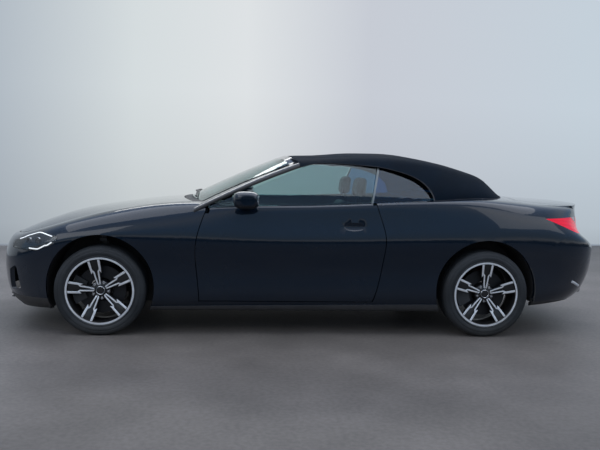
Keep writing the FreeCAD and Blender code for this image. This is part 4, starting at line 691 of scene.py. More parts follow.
class CAR_OT_body(CarOperator, bpy.types.Operator):
    """Paint the body panels and soften their edges"""
    bl_idname = "car.body"
    bl_label = "Body Panels"

    def make(self):
        edge = settings("paint").edge_radius
        paint = "Body Paint"
        names = ["bonnet", "boot_lid", "rear_deck", "fuel_flap"]
        for side, _ in SIDES:
            names += ["fender_" + side, "quarter_" + side]
        for name in names:
            refine(name, paint, bevel=edge)
        for name in ("front_bumper", "rear_bumper"):
            refine(name, [paint, "Satin Black"], bevel=edge, pick=is_under_bumper,
                   border=((0, 0, BUMPER_BAND_Z), Z_AXIS))
        for side, _ in SIDES:
            refine("door_" + side, [paint, "Cabin Trim"], pick=faces_cabin)
            refine("side_frame_" + side, paint)
            refine("mirror_" + side, [paint, "Mirror Glass", "Satin Black"], angle=40,
                   pick=mirror_part)
        refine("side_skirts", "Skirt Grey", bevel=0.003)
        refine("windscreen_frame", [paint, "Rubber"], pick=is_pillar_seal)
        refine("cowl", "Rough Plastic")
        refine("window_dividers", "Divider Trim")
        refine("arch_liners", "Rough Plastic")
        refine("underbody", ["Underbody", "Carpet"], pick=is_cabin_floor)


def is_under_bumper(face):
    """True for a bumper's lowest band, which is bare plastic."""
    return face.calc_center_median().z < BUMPER_BAND_Z


def mirror_part(face):
    """The mirror's glass faces backwards, and its foot and underside are black."""
    middle = face.calc_center_median()
    if face.normal.x > 0.80 and abs(middle.y) > 0.88:
        return 1
    return 2 if middle.z < MIRROR_FOOT_Z else 0


def is_pillar_seal(face):
    """True for the sides of the screen frame that the door glass shuts against."""
    middle = face.calc_center_median()
    sideways = face.normal.y * middle.y / abs(middle.y) if middle.y else 0
    return sideways > 0.52 or face.normal.z < -0.20


def is_cabin_floor(face):
    middle = face.calc_center_median()
    return face.normal.z > 0.5 and abs(middle.y) < 0.74 and CARPET_X[0] < middle.x < CARPET_X[1]


BUMPER_BAND_Z = 0.262
MIRROR_FOOT_Z = 0.962
CARPET_X = (-0.96, 1.05)


class CAR_OT_trim(CarOperator, bpy.types.Operator):
    """Lay the belt seals, wipers, reflectors and splash guards on the body"""
    bl_idname = "car.trim"
    bl_label = "Body Trim"

    def make(self):
        for side, sign in SIDES:
            line = [point + Vector((0, sign * BELT_OUT, -BELT_SUNK)) for point in crest_of("door_" + side, BELT_X, 27)]
            finished("belt_seal_" + side, rod(line, BELT_RADIUS), "Rubber", body_of("door_" + side))
        wipers = [part for foot, tip in WIPERS for part in wiper(foot, tip)]
        finished("wipers", joined(wipers), "Satin Black", "root")
        guards = []
        for end, side, centre in wheel_places():
            way = 1 if centre.y > 0 else -1
            for ahead, reach, angles in GUARDS[end]:
                guards.append(splash_guard(centre, ahead, way * GUARD_INSIDE[end], way * reach, angles))
        finished("splash_guards", joined(guards), "Rough Plastic", "root")
        tree = tree_from(cad_data("rear_bumper"))
        strips = []
        for way in (-1, 1):
            path = []
            for k in range(REFLECTOR_STEPS + 1):
                x, z = (a + (b - a) * k / REFLECTOR_STEPS for a, b in zip(*REFLECTOR))
                hit, normal = side_hit(tree, x, z, way)
                if hit:
                    path.append(hit + normal * REFLECTOR_OUT)
            strips.append(rod(path, REFLECTOR_RADIUS, 3))
        finished("rear_reflectors", joined(strips), "Reflector", "root")


BELT_X, BELT_OUT, BELT_SUNK, BELT_RADIUS = (-0.76, 0.50), 0.002, 0.001, 0.0085
# Foot and tip of each wiper, along and across the car
WIPERS = (((-0.878, -0.50), (-0.895, 0.10)), ((-0.905, 0.02), (-0.852, 0.56)))
WIPER_STEPS, BLADE_UP, ARM_UP, BLADE_RADIUS, ARM_RADIUS = 6, 0.008, 0.006, 0.004, 0.005
# In front of or behind the wheel, how far out the guard reaches, and its angles below the hub
GUARDS = {
    "front": ((-1, 0.815, (5.5, 11, 17, 22)), (1, 0.862, (5.5, 11, 17, 22))),
    "rear": ((-1, 0.868, (5.5, 9, 12.5, 16)), (1, 0.880, (5.5, 7, 8.5, 10))),
}
GUARD_INSIDE = {"front": 0.490, "rear": 0.527}
GUARD_RADIUS, GUARD_WALL, GUARD_LENGTH = 0.3885, 0.003, 0.14
REFLECTOR = ((2.035, 0.414), (2.118, 0.374))
REFLECTOR_STEPS, REFLECTOR_OUT, REFLECTOR_RADIUS = 6, 0.001, 0.011


def splash_guard(centre, ahead, inside, outside, angles):
    """The curved guard that closes the foot of a wheel arch, and the flat one beside it."""
    turns = [math.radians(a) for a in angles]
    outline = []
    for radius, along in ((GUARD_RADIUS, turns), (GUARD_RADIUS + GUARD_WALL, turns[::-1])):
        outline += [Vector((centre.x + ahead * radius * math.cos(a), inside, centre.z - radius * math.sin(a)))
                    for a in along]
    band = prism(outline, Y_AXIS, outside - inside)
    foot = outline[len(turns) - 1]
    xs = sorted((foot.x, centre.x + ahead * GUARD_LENGTH))
    ys = sorted((inside, inside - math.copysign(GUARD_WALL, inside)))
    side = box_mesh((xs[0], ys[0], foot.z), (xs[1], ys[1], outline[0].z))
    return joined([band, side])


def crest_of(node, reach, count):
    """Points along the highest edge of a CAD node."""
    corners = [v.co for v in cad_data(node).vertices]
    first, last = reach
    step = (last - first) / (count - 1)
    points = []
    for k in range(count):
        x = first + k * step
        near = [c for c in corners if abs(c.x - x) < 0.8 * step]
        if near:
            top = max(near, key=lambda c: c.z)
            points.append(Vector((x, top.y, top.z)))
    return points


def wiper(foot, tip):
    """One wiper's arm and blade, which lie on the windscreen."""
    tree = tree_from(cad_data("windscreen"))
    places = []
    for k in range(WIPER_STEPS + 1):
        x, y = (a + (b - a) * (k / WIPER_STEPS) for a, b in zip(foot, tip))
        hit = tree.ray_cast(Vector((x, y, RAY_TOP)), -Z_AXIS)[0]
        if hit:
            places.append(hit + Vector((-0.002, 0, BLADE_UP)))
    arm = [p + Vector((-0.006, 0, ARM_UP)) for p in places[:4]]
    pivot = bmesh.new()
    bmesh.ops.create_cone(
        pivot, cap_ends=True, cap_tris=False, segments=16, radius1=0.010, radius2=0.008, depth=0.010,
        matrix=Matrix.Translation(arm[0]))
    return [rod(places, BLADE_RADIUS), rod(arm, ARM_RADIUS), pivot]


class CAR_OT_glazing(CarOperator, bpy.types.Operator):
    """Glaze the windscreen and the side and rear windows"""
    bl_idname = "car.glazing"
    bl_label = "Glazing"

    def make(self):
        for name in ("windscreen", "rear_window", "door_glass_left", "door_glass_right"):
            refine(name, "Window Glass")
        refine("quarter_glass", "Quarter Glass")


class CAR_OT_running_gear(CarOperator, bpy.types.Operator):
    """Finish the axles, engine and underside"""
    bl_idname = "car.running_gear"
    bl_label = "Running Gear"

    def make(self):
        # Painted shade: the axles, engine, radiator, exhaust and brake calipers get finishes painted near black for the
        # shade they sit in
        for name in ("front_axle", "rear_axle", "engine", "radiator"):
            paint_node(name, "Shaded Cast Metal")
        refine("exhaust", ["Shaded Cast Metal", "Bright Trim"], pick=is_pipe_tip)
        for name in ("knuckle_left", "knuckle_right"):
            paint_node(name, "Shaded Brake Caliper")
        paint_node("grilles", "Gloss Black")


def is_pipe_tip(face):
    return face.calc_center_median().x > 2.20


class CAR_OT_lamps(CarOperator, bpy.types.Operator):
    """Glaze the head and tail lamps and fit what is behind their lenses"""
    bl_idname = "car.lamps"
    bl_label = "Lamps"

    def make(self):
        refine("headlamps", "Lamp Glass")
        for side, sign in SIDES:
            lamp_inside(side, -sign)
        refine("tail_lamps", ["Red Lamp", "Smoked Lens"], pick=is_lamp_end,
               border=((LAMP_CORNER_X, 0, LAMP_CORNER_Z), (LAMP_CORNER_SLOPE, 0, 1)))
        refine("lid_lamps", "Red Lamp")


def is_lamp_end(face):
    """True for the smoked rear top corner of a tail lamp."""
    middle = face.calc_center_median()
    return middle.z > LAMP_CORNER_Z + (LAMP_CORNER_X - middle.x) * LAMP_CORNER_SLOPE


LAMP_CORNER_X, LAMP_CORNER_Z, LAMP_CORNER_SLOPE = 2.10, 0.872, 0.62


def lamp_inside(side, way):
    """The reflector, the two projector lenses and the light guides of one headlamp."""
    shell = copy_mesh("headlamps")
    other = [v for v in shell.verts if v.co.y * way < 0]
    bmesh.ops.delete(shell, geom=other, context="VERTS")
    corners = [v.co.copy() for v in shell.verts]
    middle = sum(corners, Vector()) / len(corners)
    tree = BVHTree.FromBMesh(shell)
    for vert in shell.verts:
        vert.co = middle + (vert.co - middle) * SHELL_SHARE + Vector((SHELL_BACK, -way * SHELL_IN, 0))
    finished("lamp_reflector_" + side, shell, "Lamp Reflector", "root")
    eyes, rings = [], []
    for x, z in PROJECTORS:
        hit = side_hit(tree, x, z, way)[0]
        if hit:
            centre, axis = hit - Vector((-EYE_BACK, way * EYE_IN, 0)), (-0.35, way, 0)
            eyes.append(spun(EYE_SIDE, centre, axis, 32, closed=False))
            rings.append(spun(EYE_RING, centre, axis, 32))
    finished("lamp_eyes_" + side, joined(eyes), "Gloss Black", "root")
    finished("lamp_rings_" + side, joined(rings), "Bright Trim", "root")
    guides = []
    for (first, last), high, bow in LIGHT_GUIDES:
        path = []
        for k in range(GUIDE_STEPS + 1):
            share = k / GUIDE_STEPS
            x = first + (last - first) * share
            column = [c.z for c in corners if abs(c.x - x) < GUIDE_SEARCH]
            if column:
                z = (max(column) - GUIDE_INSET if high else min(column) + GUIDE_INSET) + bow * (2 * share - 1) ** 2
                hit = side_hit(tree, x, z, way)[0]
                if hit:
                    path.append(hit - Vector((0, way * GUIDE_IN, 0)))
        guides.append(rod(path, GUIDE_RADIUS))
    finished("lamp_guides_" + side, joined(guides), "Lamp Light", "root")


SHELL_SHARE, SHELL_BACK, SHELL_IN = 0.93, 0.010, 0.016
PROJECTORS = ((-2.06, 0.668), (-1.985, 0.676))
EYE_BACK, EYE_IN = 0.004, 0.013
EYE_SIDE = ((0.009, 0), (0.0075, 0.010), (0.003, 0.0165), (-0.004, 0.019), (-0.004, 0))
EYE_RING = ((0.004, 0.0195), (0.008, 0.022), (0.004, 0.0245), (-0.006, 0.0245), (-0.006, 0.0195))
# Reach along the car, whether it follows the lamp's upper edge, and how far its ends bend
LIGHT_GUIDES = (((-2.15, -1.875), True, -0.002), ((-2.05, -1.875), False, 0.002))
GUIDE_STEPS, GUIDE_SEARCH, GUIDE_INSET, GUIDE_IN, GUIDE_RADIUS = 10, 0.02, 0.012, 0.006, 0.0045


class CAR_OT_soft_top(CarOperator, bpy.types.Operator):
    """Cover the cabin with one stretched sheet of fabric, its seams and its lining"""
    bl_idname = "car.soft_top"
    bl_label = "Soft Top"

    def make(self):
        sag = settings("top").sag
        parts = []
        for name, finish, inside in (("top_cover", "Top Fabric", False), ("top_lining", "Top Lining", True)):
            mesh = copy_mesh("soft_top")
            bmesh.ops.dissolve_degenerate(mesh, dist=1e-5, edges=mesh.edges)
            mesh.normal_update()
            rest = [face for face in mesh.faces if (face.normal.z < LINING_WAY) != inside]
            bmesh.ops.delete(mesh, geom=rest, context="FACES")
            for vert in mesh.verts:
                vert.co.z -= sag * slack(vert.co)
            sharpen(mesh, 45)
            piece = link_piece(name, mesh, finish)
            wall = piece.modifiers.new("Cloth Wall", "SOLIDIFY")
            wall.thickness = CLOTH_WALL
            wall.offset = -1
            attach(piece, body_of("soft_top"))
            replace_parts(piece, "soft_top")
            parts.append(piece)
        cover = parts[0]
        tree = tree_from(cover.data)
        seams = []
        for line in SEAM_LINES:
            seams += seam_rods(tree, line)
        seams = finished("top_seams", joined(seams), "Top Fabric", body_of("soft_top"), angle=80)


LINING_WAY, CLOTH_WALL = -0.02, 0.003
BOWS_X = (-0.16, 0.28, 0.70, 1.08)
SEAM_LINES = (
    ((-0.14, -0.43), (0.40, -0.47), (0.95, -0.49), (1.14, -0.50), (1.40, -0.52)),
    ((-0.14, 0.43), (0.40, 0.47), (0.95, 0.49), (1.14, 0.50), (1.40, 0.52)),
    ((1.10, -0.495), (1.10, -0.2), (1.10, 0.2), (1.10, 0.495)),
    ((-0.145, -0.60), (-0.165, -0.3), (-0.17, 0.0), (-0.165, 0.3), (-0.145, 0.60)),
)


def slack(place):
    """How far the fabric sinks at a place between its bows, of its sag."""
    for first, last in zip(BOWS_X, BOWS_X[1:]):
        if first < place.x < last:
            share = (place.x - first) / (last - first)
            return math.sin(math.pi * share) ** 2 * max(0.0, 1 - (place.y / 0.62) ** 4)
    return 0.0


def seam_rods(tree, line):
    """A raised seam along a line over the cover."""
    spots = []
    for (x0, y0), (x1, y1) in zip(line, line[1:]):
        steps = max(2, round(math.hypot(x1 - x0, y1 - y0) / 0.03))
        spots += [(x0 + (x1 - x0) * k / steps, y0 + (y1 - y0) * k / steps) for k in range(steps)]
    spots.append(line[-1])
    path = []
    for x, y in spots:
        hit, normal = tree.ray_cast(Vector((x, y, RAY_TOP)), -Z_AXIS)[:2]
        if hit and normal.z > 0.1:
            path.append(hit - normal * 0.0012)
    return [rod(path, 0.0030)] if len(path) > 3 else []


class CAR_OT_tyres(CarOperator, bpy.types.Operator):
    """Turn the four tyres with their grooves, rings and shoulder notches"""
    bl_idname = "car.tyres"
    bl_label = "Tyres"

    def make(self):
        for end, side, centre in wheel_places():
            name = "tyre_%s_%s" % (end, side)
            mesh = tyre_mesh()
            if side == "right":
                mesh = mirror_free(mesh)
            bmesh.ops.translate(mesh, vec=centre, verts=mesh.verts)
            piece = finished(name + "_tread", mesh, "Tyre Rubber", body_of(name), angle=50)
            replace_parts(piece, name)


TYRE_HALF, TYRE_RADIUS, BEAD_RADIUS = 0.113, 0.326, 0.2432
TYRE_SIDE = (
    # across, of half the tyre's width; and outwards, of the wall from bead to tread
    (0.900, 0.0), (0.955, 0.020), (0.985, 0.070), (0.998, 0.105), (0.978, 0.140), (0.960, 0.165), (0.985, 0.240),
    (1.0, 0.330), (1.0, 0.440), (0.992, 0.520), (0.984, 0.530), (0.976, 0.600), (0.984, 0.610), (0.955, 0.740),
    (0.915, 0.840), (0.900, 0.846), (0.850, 0.925), (0.790, 0.972), (0.700, 0.990),
)
TREAD_GROOVES = (0.56, 0.20)
GROOVE_HALF, GROOVE_DEPTH = 0.040, 0.0065
TYRE_STEPS, NOTCH_EVERY, NOTCH_DEPTH = 216, 3, 0.0045


def tyre_profile():
    """Points of (across, radius) round one tyre's section."""
    wall = TYRE_RADIUS - BEAD_RADIUS
    side = [(-a * TYRE_HALF, BEAD_RADIUS + o * wall) for a, o in TYRE_SIDE]
    tread = []
    for spot in TREAD_GROOVES:
        top = TYRE_RADIUS - 0.0008 * (spot / 0.7) ** 2
        for shift, sunk in ((GROOVE_HALF, 0), (GROOVE_HALF * 0.8, 1), (-GROOVE_HALF * 0.8, 1), (-GROOVE_HALF, 0)):
            tread.append((-(spot + shift) * TYRE_HALF, top - sunk * GROOVE_DEPTH))
    half = side + tread
    outer = half + [(-a, r) for a, r in reversed(half)]
    inner = [(0.84 * TYRE_HALF, BEAD_RADIUS), (0.80 * TYRE_HALF, 0.288), (0.6 * TYRE_HALF, 0.310)]
    return outer + inner + [(-a, r) for a, r in reversed(inner)]


def tyre_mesh():
    """One tyre about the Y axis at the origin."""
    mesh = spun(tyre_profile(), (0, 0, 0), Y_AXIS, TYRE_STEPS)
    bmesh.ops.recalc_face_normals(mesh, faces=mesh.faces)
    notched = []
    for face in mesh.faces:
        middle = face.calc_center_median()
        radius = math.hypot(middle.x, middle.z)
        across = abs(middle.y) / TYRE_HALF
        column = round((math.atan2(middle.z, middle.x) / math.tau % 1) * TYRE_STEPS - 0.5)
        if 0.62 < across < 0.93 and radius > 0.3085 and column % NOTCH_EVERY == 0:
            notched.append(face)
    sunk = bmesh.ops.extrude_face_region(mesh, geom=notched)
    for vert in new_verts(sunk):
        inward = Vector((vert.co.x, 0, vert.co.z)).normalized()
        vert.co -= inward * NOTCH_DEPTH
    return mesh


def wheel_places():
    """End, side and centre of each wheel."""
    for end in ("front", "rear"):
        for side, _ in SIDES:
            low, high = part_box("rim_%s_%s" % (end, side))
            yield end, side, (Vector(low) + Vector(high)) / 2


def mirror_free(mesh):
    """The mirror image of a bmesh, which it takes the place of."""
    other = mirror_copy(mesh)
    mesh.free()
    return other


class CAR_OT_wheels(CarOperator, bpy.types.Operator):
    """Make the four wheels with their double spokes, bolts, blank caps and brake discs"""
    bl_idname = "car.wheels"
    bl_label = "Wheels"

    def make(self):
        # Painted shade: the brake discs get a finish painted near black for the shade inside the wheels
        finishes = ("Turned Face", "Wheel Pocket", "Bright Trim", "Shaded Brake Disc")
        for end, side, centre in wheel_places():
            name = "rim_%s_%s" % (end, side)
            mesh = wheel_mesh(WHEEL_TURN[end])
            if side == "right":
                mesh = mirror_free(mesh)
            bmesh.ops.translate(mesh, vec=centre, verts=mesh.verts)
            piece = finished(name + "_wheel", mesh, finishes, body_of(name), angle=38)
            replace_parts(piece, name)


RING_RADIUS = 0.2413
FACE_HUB_Y, FACE_RING_Y = -0.0746, -0.1050
WHEEL_TURN = {"front": math.radians(-11.5), "rear": math.radians(2)}
# Side and radius of the two edges of a bar at each station, of the ring's radius
OUTER_BAR = (
    ((0.086, 0.590), (0.148, 0.520)), ((0.098, 0.68), (0.164, 0.68)), ((0.106, 0.82), (0.174, 0.82)),
    ((0.114, 0.965), (0.184, 0.965)),
)
INNER_BAR = (
    ((0.004, 0.165), (0.050, 0.185)), ((0.022, 0.30), (0.066, 0.30)), ((0.034, 0.45), (0.080, 0.45)),
    ((0.044, 0.590), (0.092, 0.650)),
)
PLANK = (
    ((-0.085, 0.12), (0.085, 0.12)), ((-0.080, 0.30), (0.080, 0.30)), ((-0.098, 0.50), (0.098, 0.50)),
    ((-0.150, 0.58), (0.150, 0.58)), ((-0.168, 0.80), (0.168, 0.80)), ((-0.186, 0.965), (0.186, 0.965)),
)
BARREL = (
    # across and radius in metres: lip, bright ring, inside of the barrel, back lip and outside
    (-0.1062, 0.2420), (-0.1062, 0.2310), (-0.1010, 0.2270), (-0.085, 0.2225), (0.0, 0.2175), (0.055, 0.2215),
    (0.095, 0.2320), (0.105, 0.2400), (0.105, 0.2560), (0.092, 0.2560), (0.086, 0.2420), (0.03, 0.2290),
    (-0.03, 0.2290), (-0.086, 0.2420), (-0.092, 0.2560), (-0.1045, 0.2560),
)


def face_y(radius):
    """Where the wheel's outer face lies across it, at a radius."""
    share = min(1.0, max(0.0, (radius / RING_RADIUS - 0.17) / 0.83))
    return FACE_HUB_Y + (FACE_RING_Y - FACE_HUB_Y) * share ** 1.4


def strip(stations, sunk, depth, edge, faced):
    """A bar of a spoke through its stations, its front on the wheel's face and its edges rounded."""
    count = len(stations)
    mesh = bmesh.new()
    bmesh.ops.create_grid(mesh, x_segments=count - 1, y_segments=1, size=0.5)
    for vert in mesh.verts:
        low, high = stations[round((vert.co.x + 0.5) * (count - 1))]
        side, out = (value * RING_RADIUS for value in (high if vert.co.y > 0 else low))
        vert.co = Vector((side, face_y(out) + sunk, out))
    front = set(mesh.verts)
    pushed = bmesh.ops.extrude_face_region(mesh, geom=list(mesh.faces))
    bmesh.ops.translate(mesh, verts=new_verts(pushed), vec=(0, depth, 0))
    bmesh.ops.recalc_face_normals(mesh, faces=mesh.faces)
    rim = [e for e in mesh.edges if front.issuperset(e.verts) and e.calc_face_angle(0) > 0.8]
    soften(mesh, edge, 2, rim)
    for face in mesh.faces:
        face.material_index = 0 if faced and face.normal.y < -0.9 else 1
    return mesh


def ring_of(mesh, count, turn):
    """Copies of a bmesh set evenly round the Y axis."""
    copies = []
    for k in range(count):
        each = mesh.copy()
        spin = Matrix.Rotation(turn + math.tau * k / count, 3, "Y")
        bmesh.ops.rotate(each, cent=(0, 0, 0), matrix=spin, verts=each.verts)
        copies.append(each)
    mesh.free()
    return joined(copies)


def in_finish(mesh, index):
    for face in mesh.faces:
        face.material_index = index
    return mesh


def wheel_mesh(turn):
    """One left wheel about the Y axis at the origin."""
    count = settings("wheel").spokes
    spoke = [strip(PLANK, 0.0080, 0.026, 0.0025, False)]
    for bar in (OUTER_BAR, INNER_BAR):
        near = strip(bar, 0.0, 0.016, 0.0012, True)
        spoke += [near, mirror_copy(near, (-1, 1, 1))]
    parts = [ring_of(joined(spoke), count, turn)]
    for profile, steps, closed, index in WHEEL_TURNED:
        turned = in_finish(spun(profile, (0, 0, 0), Y_AXIS, steps, closed=closed), index)
        if profile is BARREL:
            for face in turned.faces:
                middle = face.calc_center_median()
                if middle.y < LIP_Y or math.hypot(middle.x, middle.z) > LIP_RADIUS and middle.y < LIP_FOOT_Y:
                    face.material_index = 0
        parts.append(turned)
    parts.append(ring_of(bolt_mesh(), count, turn + math.pi / count))
    return joined(parts)


# Points of (across, radius) in metres of what is turned: hub, cap, the cap's ring and brake disc
HUB = (
    (-0.069, 0), (-0.069, 0.032), (-0.072, 0.036), (-0.070, 0.044), (-0.0665, 0.066), (-0.058, 0.074),
    (-0.030, 0.078), (0.007, 0.078), (0.007, 0.030), (0.0445, 0.030), (0.0445, 0),
)
CAP = ((-0.0770, 0), (-0.0768, 0.018), (-0.0755, 0.0262), (-0.070, 0.0275), (-0.066, 0.0275), (-0.066, 0))
CAP_RING = ((-0.0762, 0.0275), (-0.0775, 0.0290), (-0.0762, 0.0306), (-0.067, 0.0310), (-0.067, 0.0275))
DISC = (
    (-0.019, 0.085), (-0.019, 0.174), (-0.010, 0.174), (-0.010, 0.150), (-0.002, 0.150), (-0.002, 0.174),
    (0.007, 0.174), (0.007, 0.085),
)
# Profile, steps round, whether it closes on itself, and its place in the wheel's list of finishes
WHEEL_TURNED = (
    (BARREL, 120, True, 1), (HUB, 60, False, 1), (CAP, 48, False, 1), (CAP_RING, 48, True, 2), (DISC, 96, True, 3),
)
LIP_Y, LIP_RADIUS, LIP_FOOT_Y = -0.1055, 0.2300, -0.103


def bolt_mesh():
    """One wheel bolt in its hole, below the hub's face."""
    mesh = bmesh.new()
    place = Matrix.Translation((0, -0.0665, 0.056)) @ Matrix.Rotation(math.pi / 2, 4, "X")
    bmesh.ops.create_cone(
        mesh, cap_ends=True, cap_tris=False, segments=6, radius1=0.0088, radius2=0.0080, depth=0.012, matrix=place)
    soften(mesh, 0.0008, 1)
    washer = spun([(-0.067, 0.0095), (-0.0685, 0.0115), (-0.064, 0.0125), (-0.064, 0.0095)], (0, 0, 0), Y_AXIS, 20)
    bmesh.ops.translate(washer, vec=(0, 0, 0.056), verts=washer.verts)
    return in_finish(joined([mesh, washer]), 2)


class CAR_OT_seats(CarOperator, bpy.types.Operator):
    """Stuff the front seats, their headrests and the rear bench"""
    bl_idname = "car.seats"
    bl_label = "Seats"

    def make(self):
        make_pads("front_seats", SEAT_PADS, SEAT_Y)
        low_y, high_y = SEAT_Y - SEAT_HALF, SEAT_Y + SEAT_HALF
        parts = [soft_box((-0.170, low_y + BASE_INSET, 0.1833), (0.200, high_y - BASE_INSET, 0.332), 0.012)]
        for y in (-0.06, 0.06):
            parts.append(rod([Vector((0.4048, SEAT_Y + y, z)) for z in (0.93, 0.98, 1.045)], 0.0078, 3))
        frames = joined(parts)
        frames = joined([mirror_copy(frames), frames])
        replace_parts(finished("seat_frames", frames, "Satin Black", body_of("front_seats")), "front_seats")
        make_pads("rear_seat", BENCH_PADS, BENCH_Y)
        base = soft_box((0.52, -0.475, 0.3303), (0.835, 0.475, 0.365), 0.008)
        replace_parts(finished("bench_base", base, "Satin Black", body_of("rear_seat")), "rear_seat")


def make_pads(node, pads, middle_y):
    """Pads on both sides of the car, with their piping, in place of a CAD seat."""
    body = body_of(node)
    for name, outline, half, inset in pads:
        pad = stuffed(name + "_left", outline, middle_y - half, middle_y + half)
        for piece in (pad, link_mirror(pad, name + "_right")):
            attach(piece, body)
            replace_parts(piece, node)
        stitched(name, pad, body, middle_y, half, inset)


SEAT_Y, SEAT_HALF, BASE_INSET = -0.3843, 0.2278, 0.042
BENCH_Y = -0.2790
# Name, side outline as x and z, half width, and the inset of the seam from the pad's edge
SEAT_PADS = (
    ("seat_cushion", ((-0.226, 0.312), (0.255, 0.312), (0.262, 0.462), (-0.165, 0.490), (-0.224, 0.468)), 0.216, 0.075),
    ("seat_back", ((0.176, 0.425), (0.272, 0.430), (0.446, 0.962), (0.362, 0.968)), 0.214, 0.070),
    ("headrest", ((0.370, 1.022), (0.440, 1.022), (0.456, 1.175), (0.388, 1.175)), 0.124, 0.030),
)
BENCH_PADS = (
    ("bench_cushion", ((0.505, 0.342), (0.850, 0.342), (0.850, 0.486), (0.562, 0.512), (0.507, 0.492)), 0.268, 0.060),
    ("bench_back", ((0.796, 0.460), (0.890, 0.460), (0.990, 0.918), (0.900, 0.918)), 0.268, 0.055),
)


def stuffed(name, outline, low_y, high_y):
    """A pad that pressure has blown up inside its cover, from its side outline."""
    mesh = prism([(x, low_y, z) for x, z in outline], Y_AXIS, high_y - low_y)
    soften(mesh, 0.026, 3)
    bmesh.ops.recalc_face_normals(mesh, faces=mesh.faces)
    pad = link_piece(name, mesh, "Leather")
    cells = pad.modifiers.new("Cells", "REMESH")
    cells.mode = "VOXEL"
    cells.voxel_size = 0.006 if name.startswith("headrest") else 0.009
    cells.use_smooth_shade = True
    bake_shape(pad)
    blow_up(pad, settings("cabin").pad_swell)
    for face in pad.data.polygons:
        face.use_smooth = True
    return round_off(pad)


def round_off(pad):
    surface = pad.modifiers.new("Round Off", "SUBSURF")
    surface.levels = surface.render_levels = 1
    return pad


def bake_shape(piece):
    """Turns a piece's modifiers into its mesh."""
    graph = bpy.context.evaluated_depsgraph_get()
    old = piece.data
    piece.data = bpy.data.meshes.new_from_object(piece.evaluated_get(graph), depsgraph=graph)
    piece.modifiers.clear()
    bpy.data.meshes.remove(old)
    piece.data.name = piece.name


def blow_up(pad, most):
    """Swells a pad's cover with the cloth solver, no point further than most."""
    start = [v.co.copy() for v in pad.data.vertices]
    cloth = pad.modifiers.new("Cover", "CLOTH")
    cloth.settings.use_pressure = True
    cloth.settings.uniform_pressure_force = 4
    cloth.settings.effector_weights.gravity = 0
    cloth.settings.quality = 4
    cloth.point_cache.frame_start = 1
    cloth.point_cache.frame_end = 20
    scene = bpy.context.scene
    for step in range(1, 21):
        scene.frame_set(step)
    bake_shape(pad)
    scene.frame_set(1)
    for vert, home in zip(pad.data.vertices, start):
        move = vert.co - home
        if move.length > most:
            vert.co = home + move * (most / move.length)


def link_mirror(pad, name):
    """The same pad on the car's other side."""
    mesh = bmesh.new()
    mesh.from_mesh(pad.data)
    return round_off(link_piece(name, mirror_free(mesh), "Leather"))


def stitched(name, pad, body, middle_y, half, inset):
    """Piping round the front of a pad and two sewn lines across it, on both sides of the car."""
    tree = tree_from(pad.data)
    low, high = (Vector([most(v.co[k] for v in pad.data.vertices) for k in range(3)]) for most in (min, max))
    flat = high.z - low.z < high.x - low.x
    reach = half - inset
    first, last = (low.x + inset, high.x - inset * 1.6) if flat else (low.z + inset, high.z - inset)
    lines = [[(first, -reach), (last, -reach), (last, reach), (first, reach), (first, -reach)]]
    for share in (0.36, 0.68):
        at = first + (last - first) * share
        lines.append([(at, -reach), (at, reach)])
    rods = []
    for line in lines:
        path = []
        for (a0, y0), (a1, y1) in zip(line, line[1:]):
            steps = max(2, round(math.hypot(a1 - a0, y1 - y0) / 0.025))
            for k in range(steps + 1):
                at, y = a0 + (a1 - a0) * k / steps, middle_y + y0 + (y1 - y0) * k / steps
                start = Vector((at, y, high.z + 1)) if flat else Vector((low.x - 1, y, at))
                hit, normal = tree.ray_cast(start, -Z_AXIS if flat else X_AXIS)[:2]
                if hit and (not path or (hit - path[-1]).length > 0.004):
                    path.append(hit + normal * 0.004)
        if len(path) > 3:
            rods.append(rod(path, 0.0026))
    piping = joined(rods)
    piping = joined([mirror_copy(piping), piping])
    finished(name + "_piping", piping, "Cabin Trim", body)


class CAR_OT_cabin(CarOperator, bpy.types.Operator):
    """Trim the dashboard, the steering wheel and the doors"""
    bl_idname = "car.cabin"
    bl_label = "Cabin"

    def make(self):
        refine("dashboard", "Cabin Trim", bevel=0.003)
        refine("steering_wheel", "Wheel Leather", angle=40)
        finished("dash_screen", soft_box((-0.612, -0.150, 0.905), (-0.598, 0.150, 0.990), 0.005), "Gloss Black", "root")
        vents = []
        for y in (-0.60, -0.10, 0.10, 0.60):
            vents.append(in_finish(soft_box((-0.668, y - 0.055, 0.845), (-0.650, y + 0.055, 0.885), 0.004), 0))
            for z in (0.851, 0.862, 0.873):
                vents.append(in_finish(box_mesh((-0.652, y - 0.048, z), (-0.646, y + 0.048, z + 0.006)), 1))
        finished("dash_vents", joined(vents), ["Satin Black", "Satin Trim"], "root")
        knob = spun(KNOB, (-0.42, 0.0, 0.628), Z_AXIS, 32, closed=False)
        finished("console_knob", knob, "Satin Trim", "root")
        for side, sign in SIDES:
            parts = []
            for index, ((x0, z0), (x1, z1), depth, edge, segments) in enumerate(DOOR_FITTINGS):
                low_y, high_y = sorted((-sign * DOOR_CARD_Y, -sign * DOOR_CARD_Y + sign * depth))
                parts.append(in_finish(soft_box((x0, low_y, z0), (x1, high_y, z1), edge, segments), index))
            finished("door_card_" + side, joined(parts), ["Leather", "Cabin Trim", "Satin Trim"],
                     body_of("door_" + side))


KNOB = ((0.0, 0), (0.0, 0.024), (0.004, 0.026), (0.022, 0.024), (0.026, 0.018), (0.026, 0))
DOOR_CARD_Y = 0.794
# Arm rest, pocket and latch: low and high corner along and up, depth, edge radius and its segments
DOOR_FITTINGS = (
    ((-0.42, 0.640), (0.16, 0.700), 0.050, 0.018, 3),
    ((-0.55, 0.36), (0.20, 0.47), 0.030, 0.012, 3),
    ((-0.47, 0.775), (-0.37, 0.800), 0.020, 0.006, 2),
)


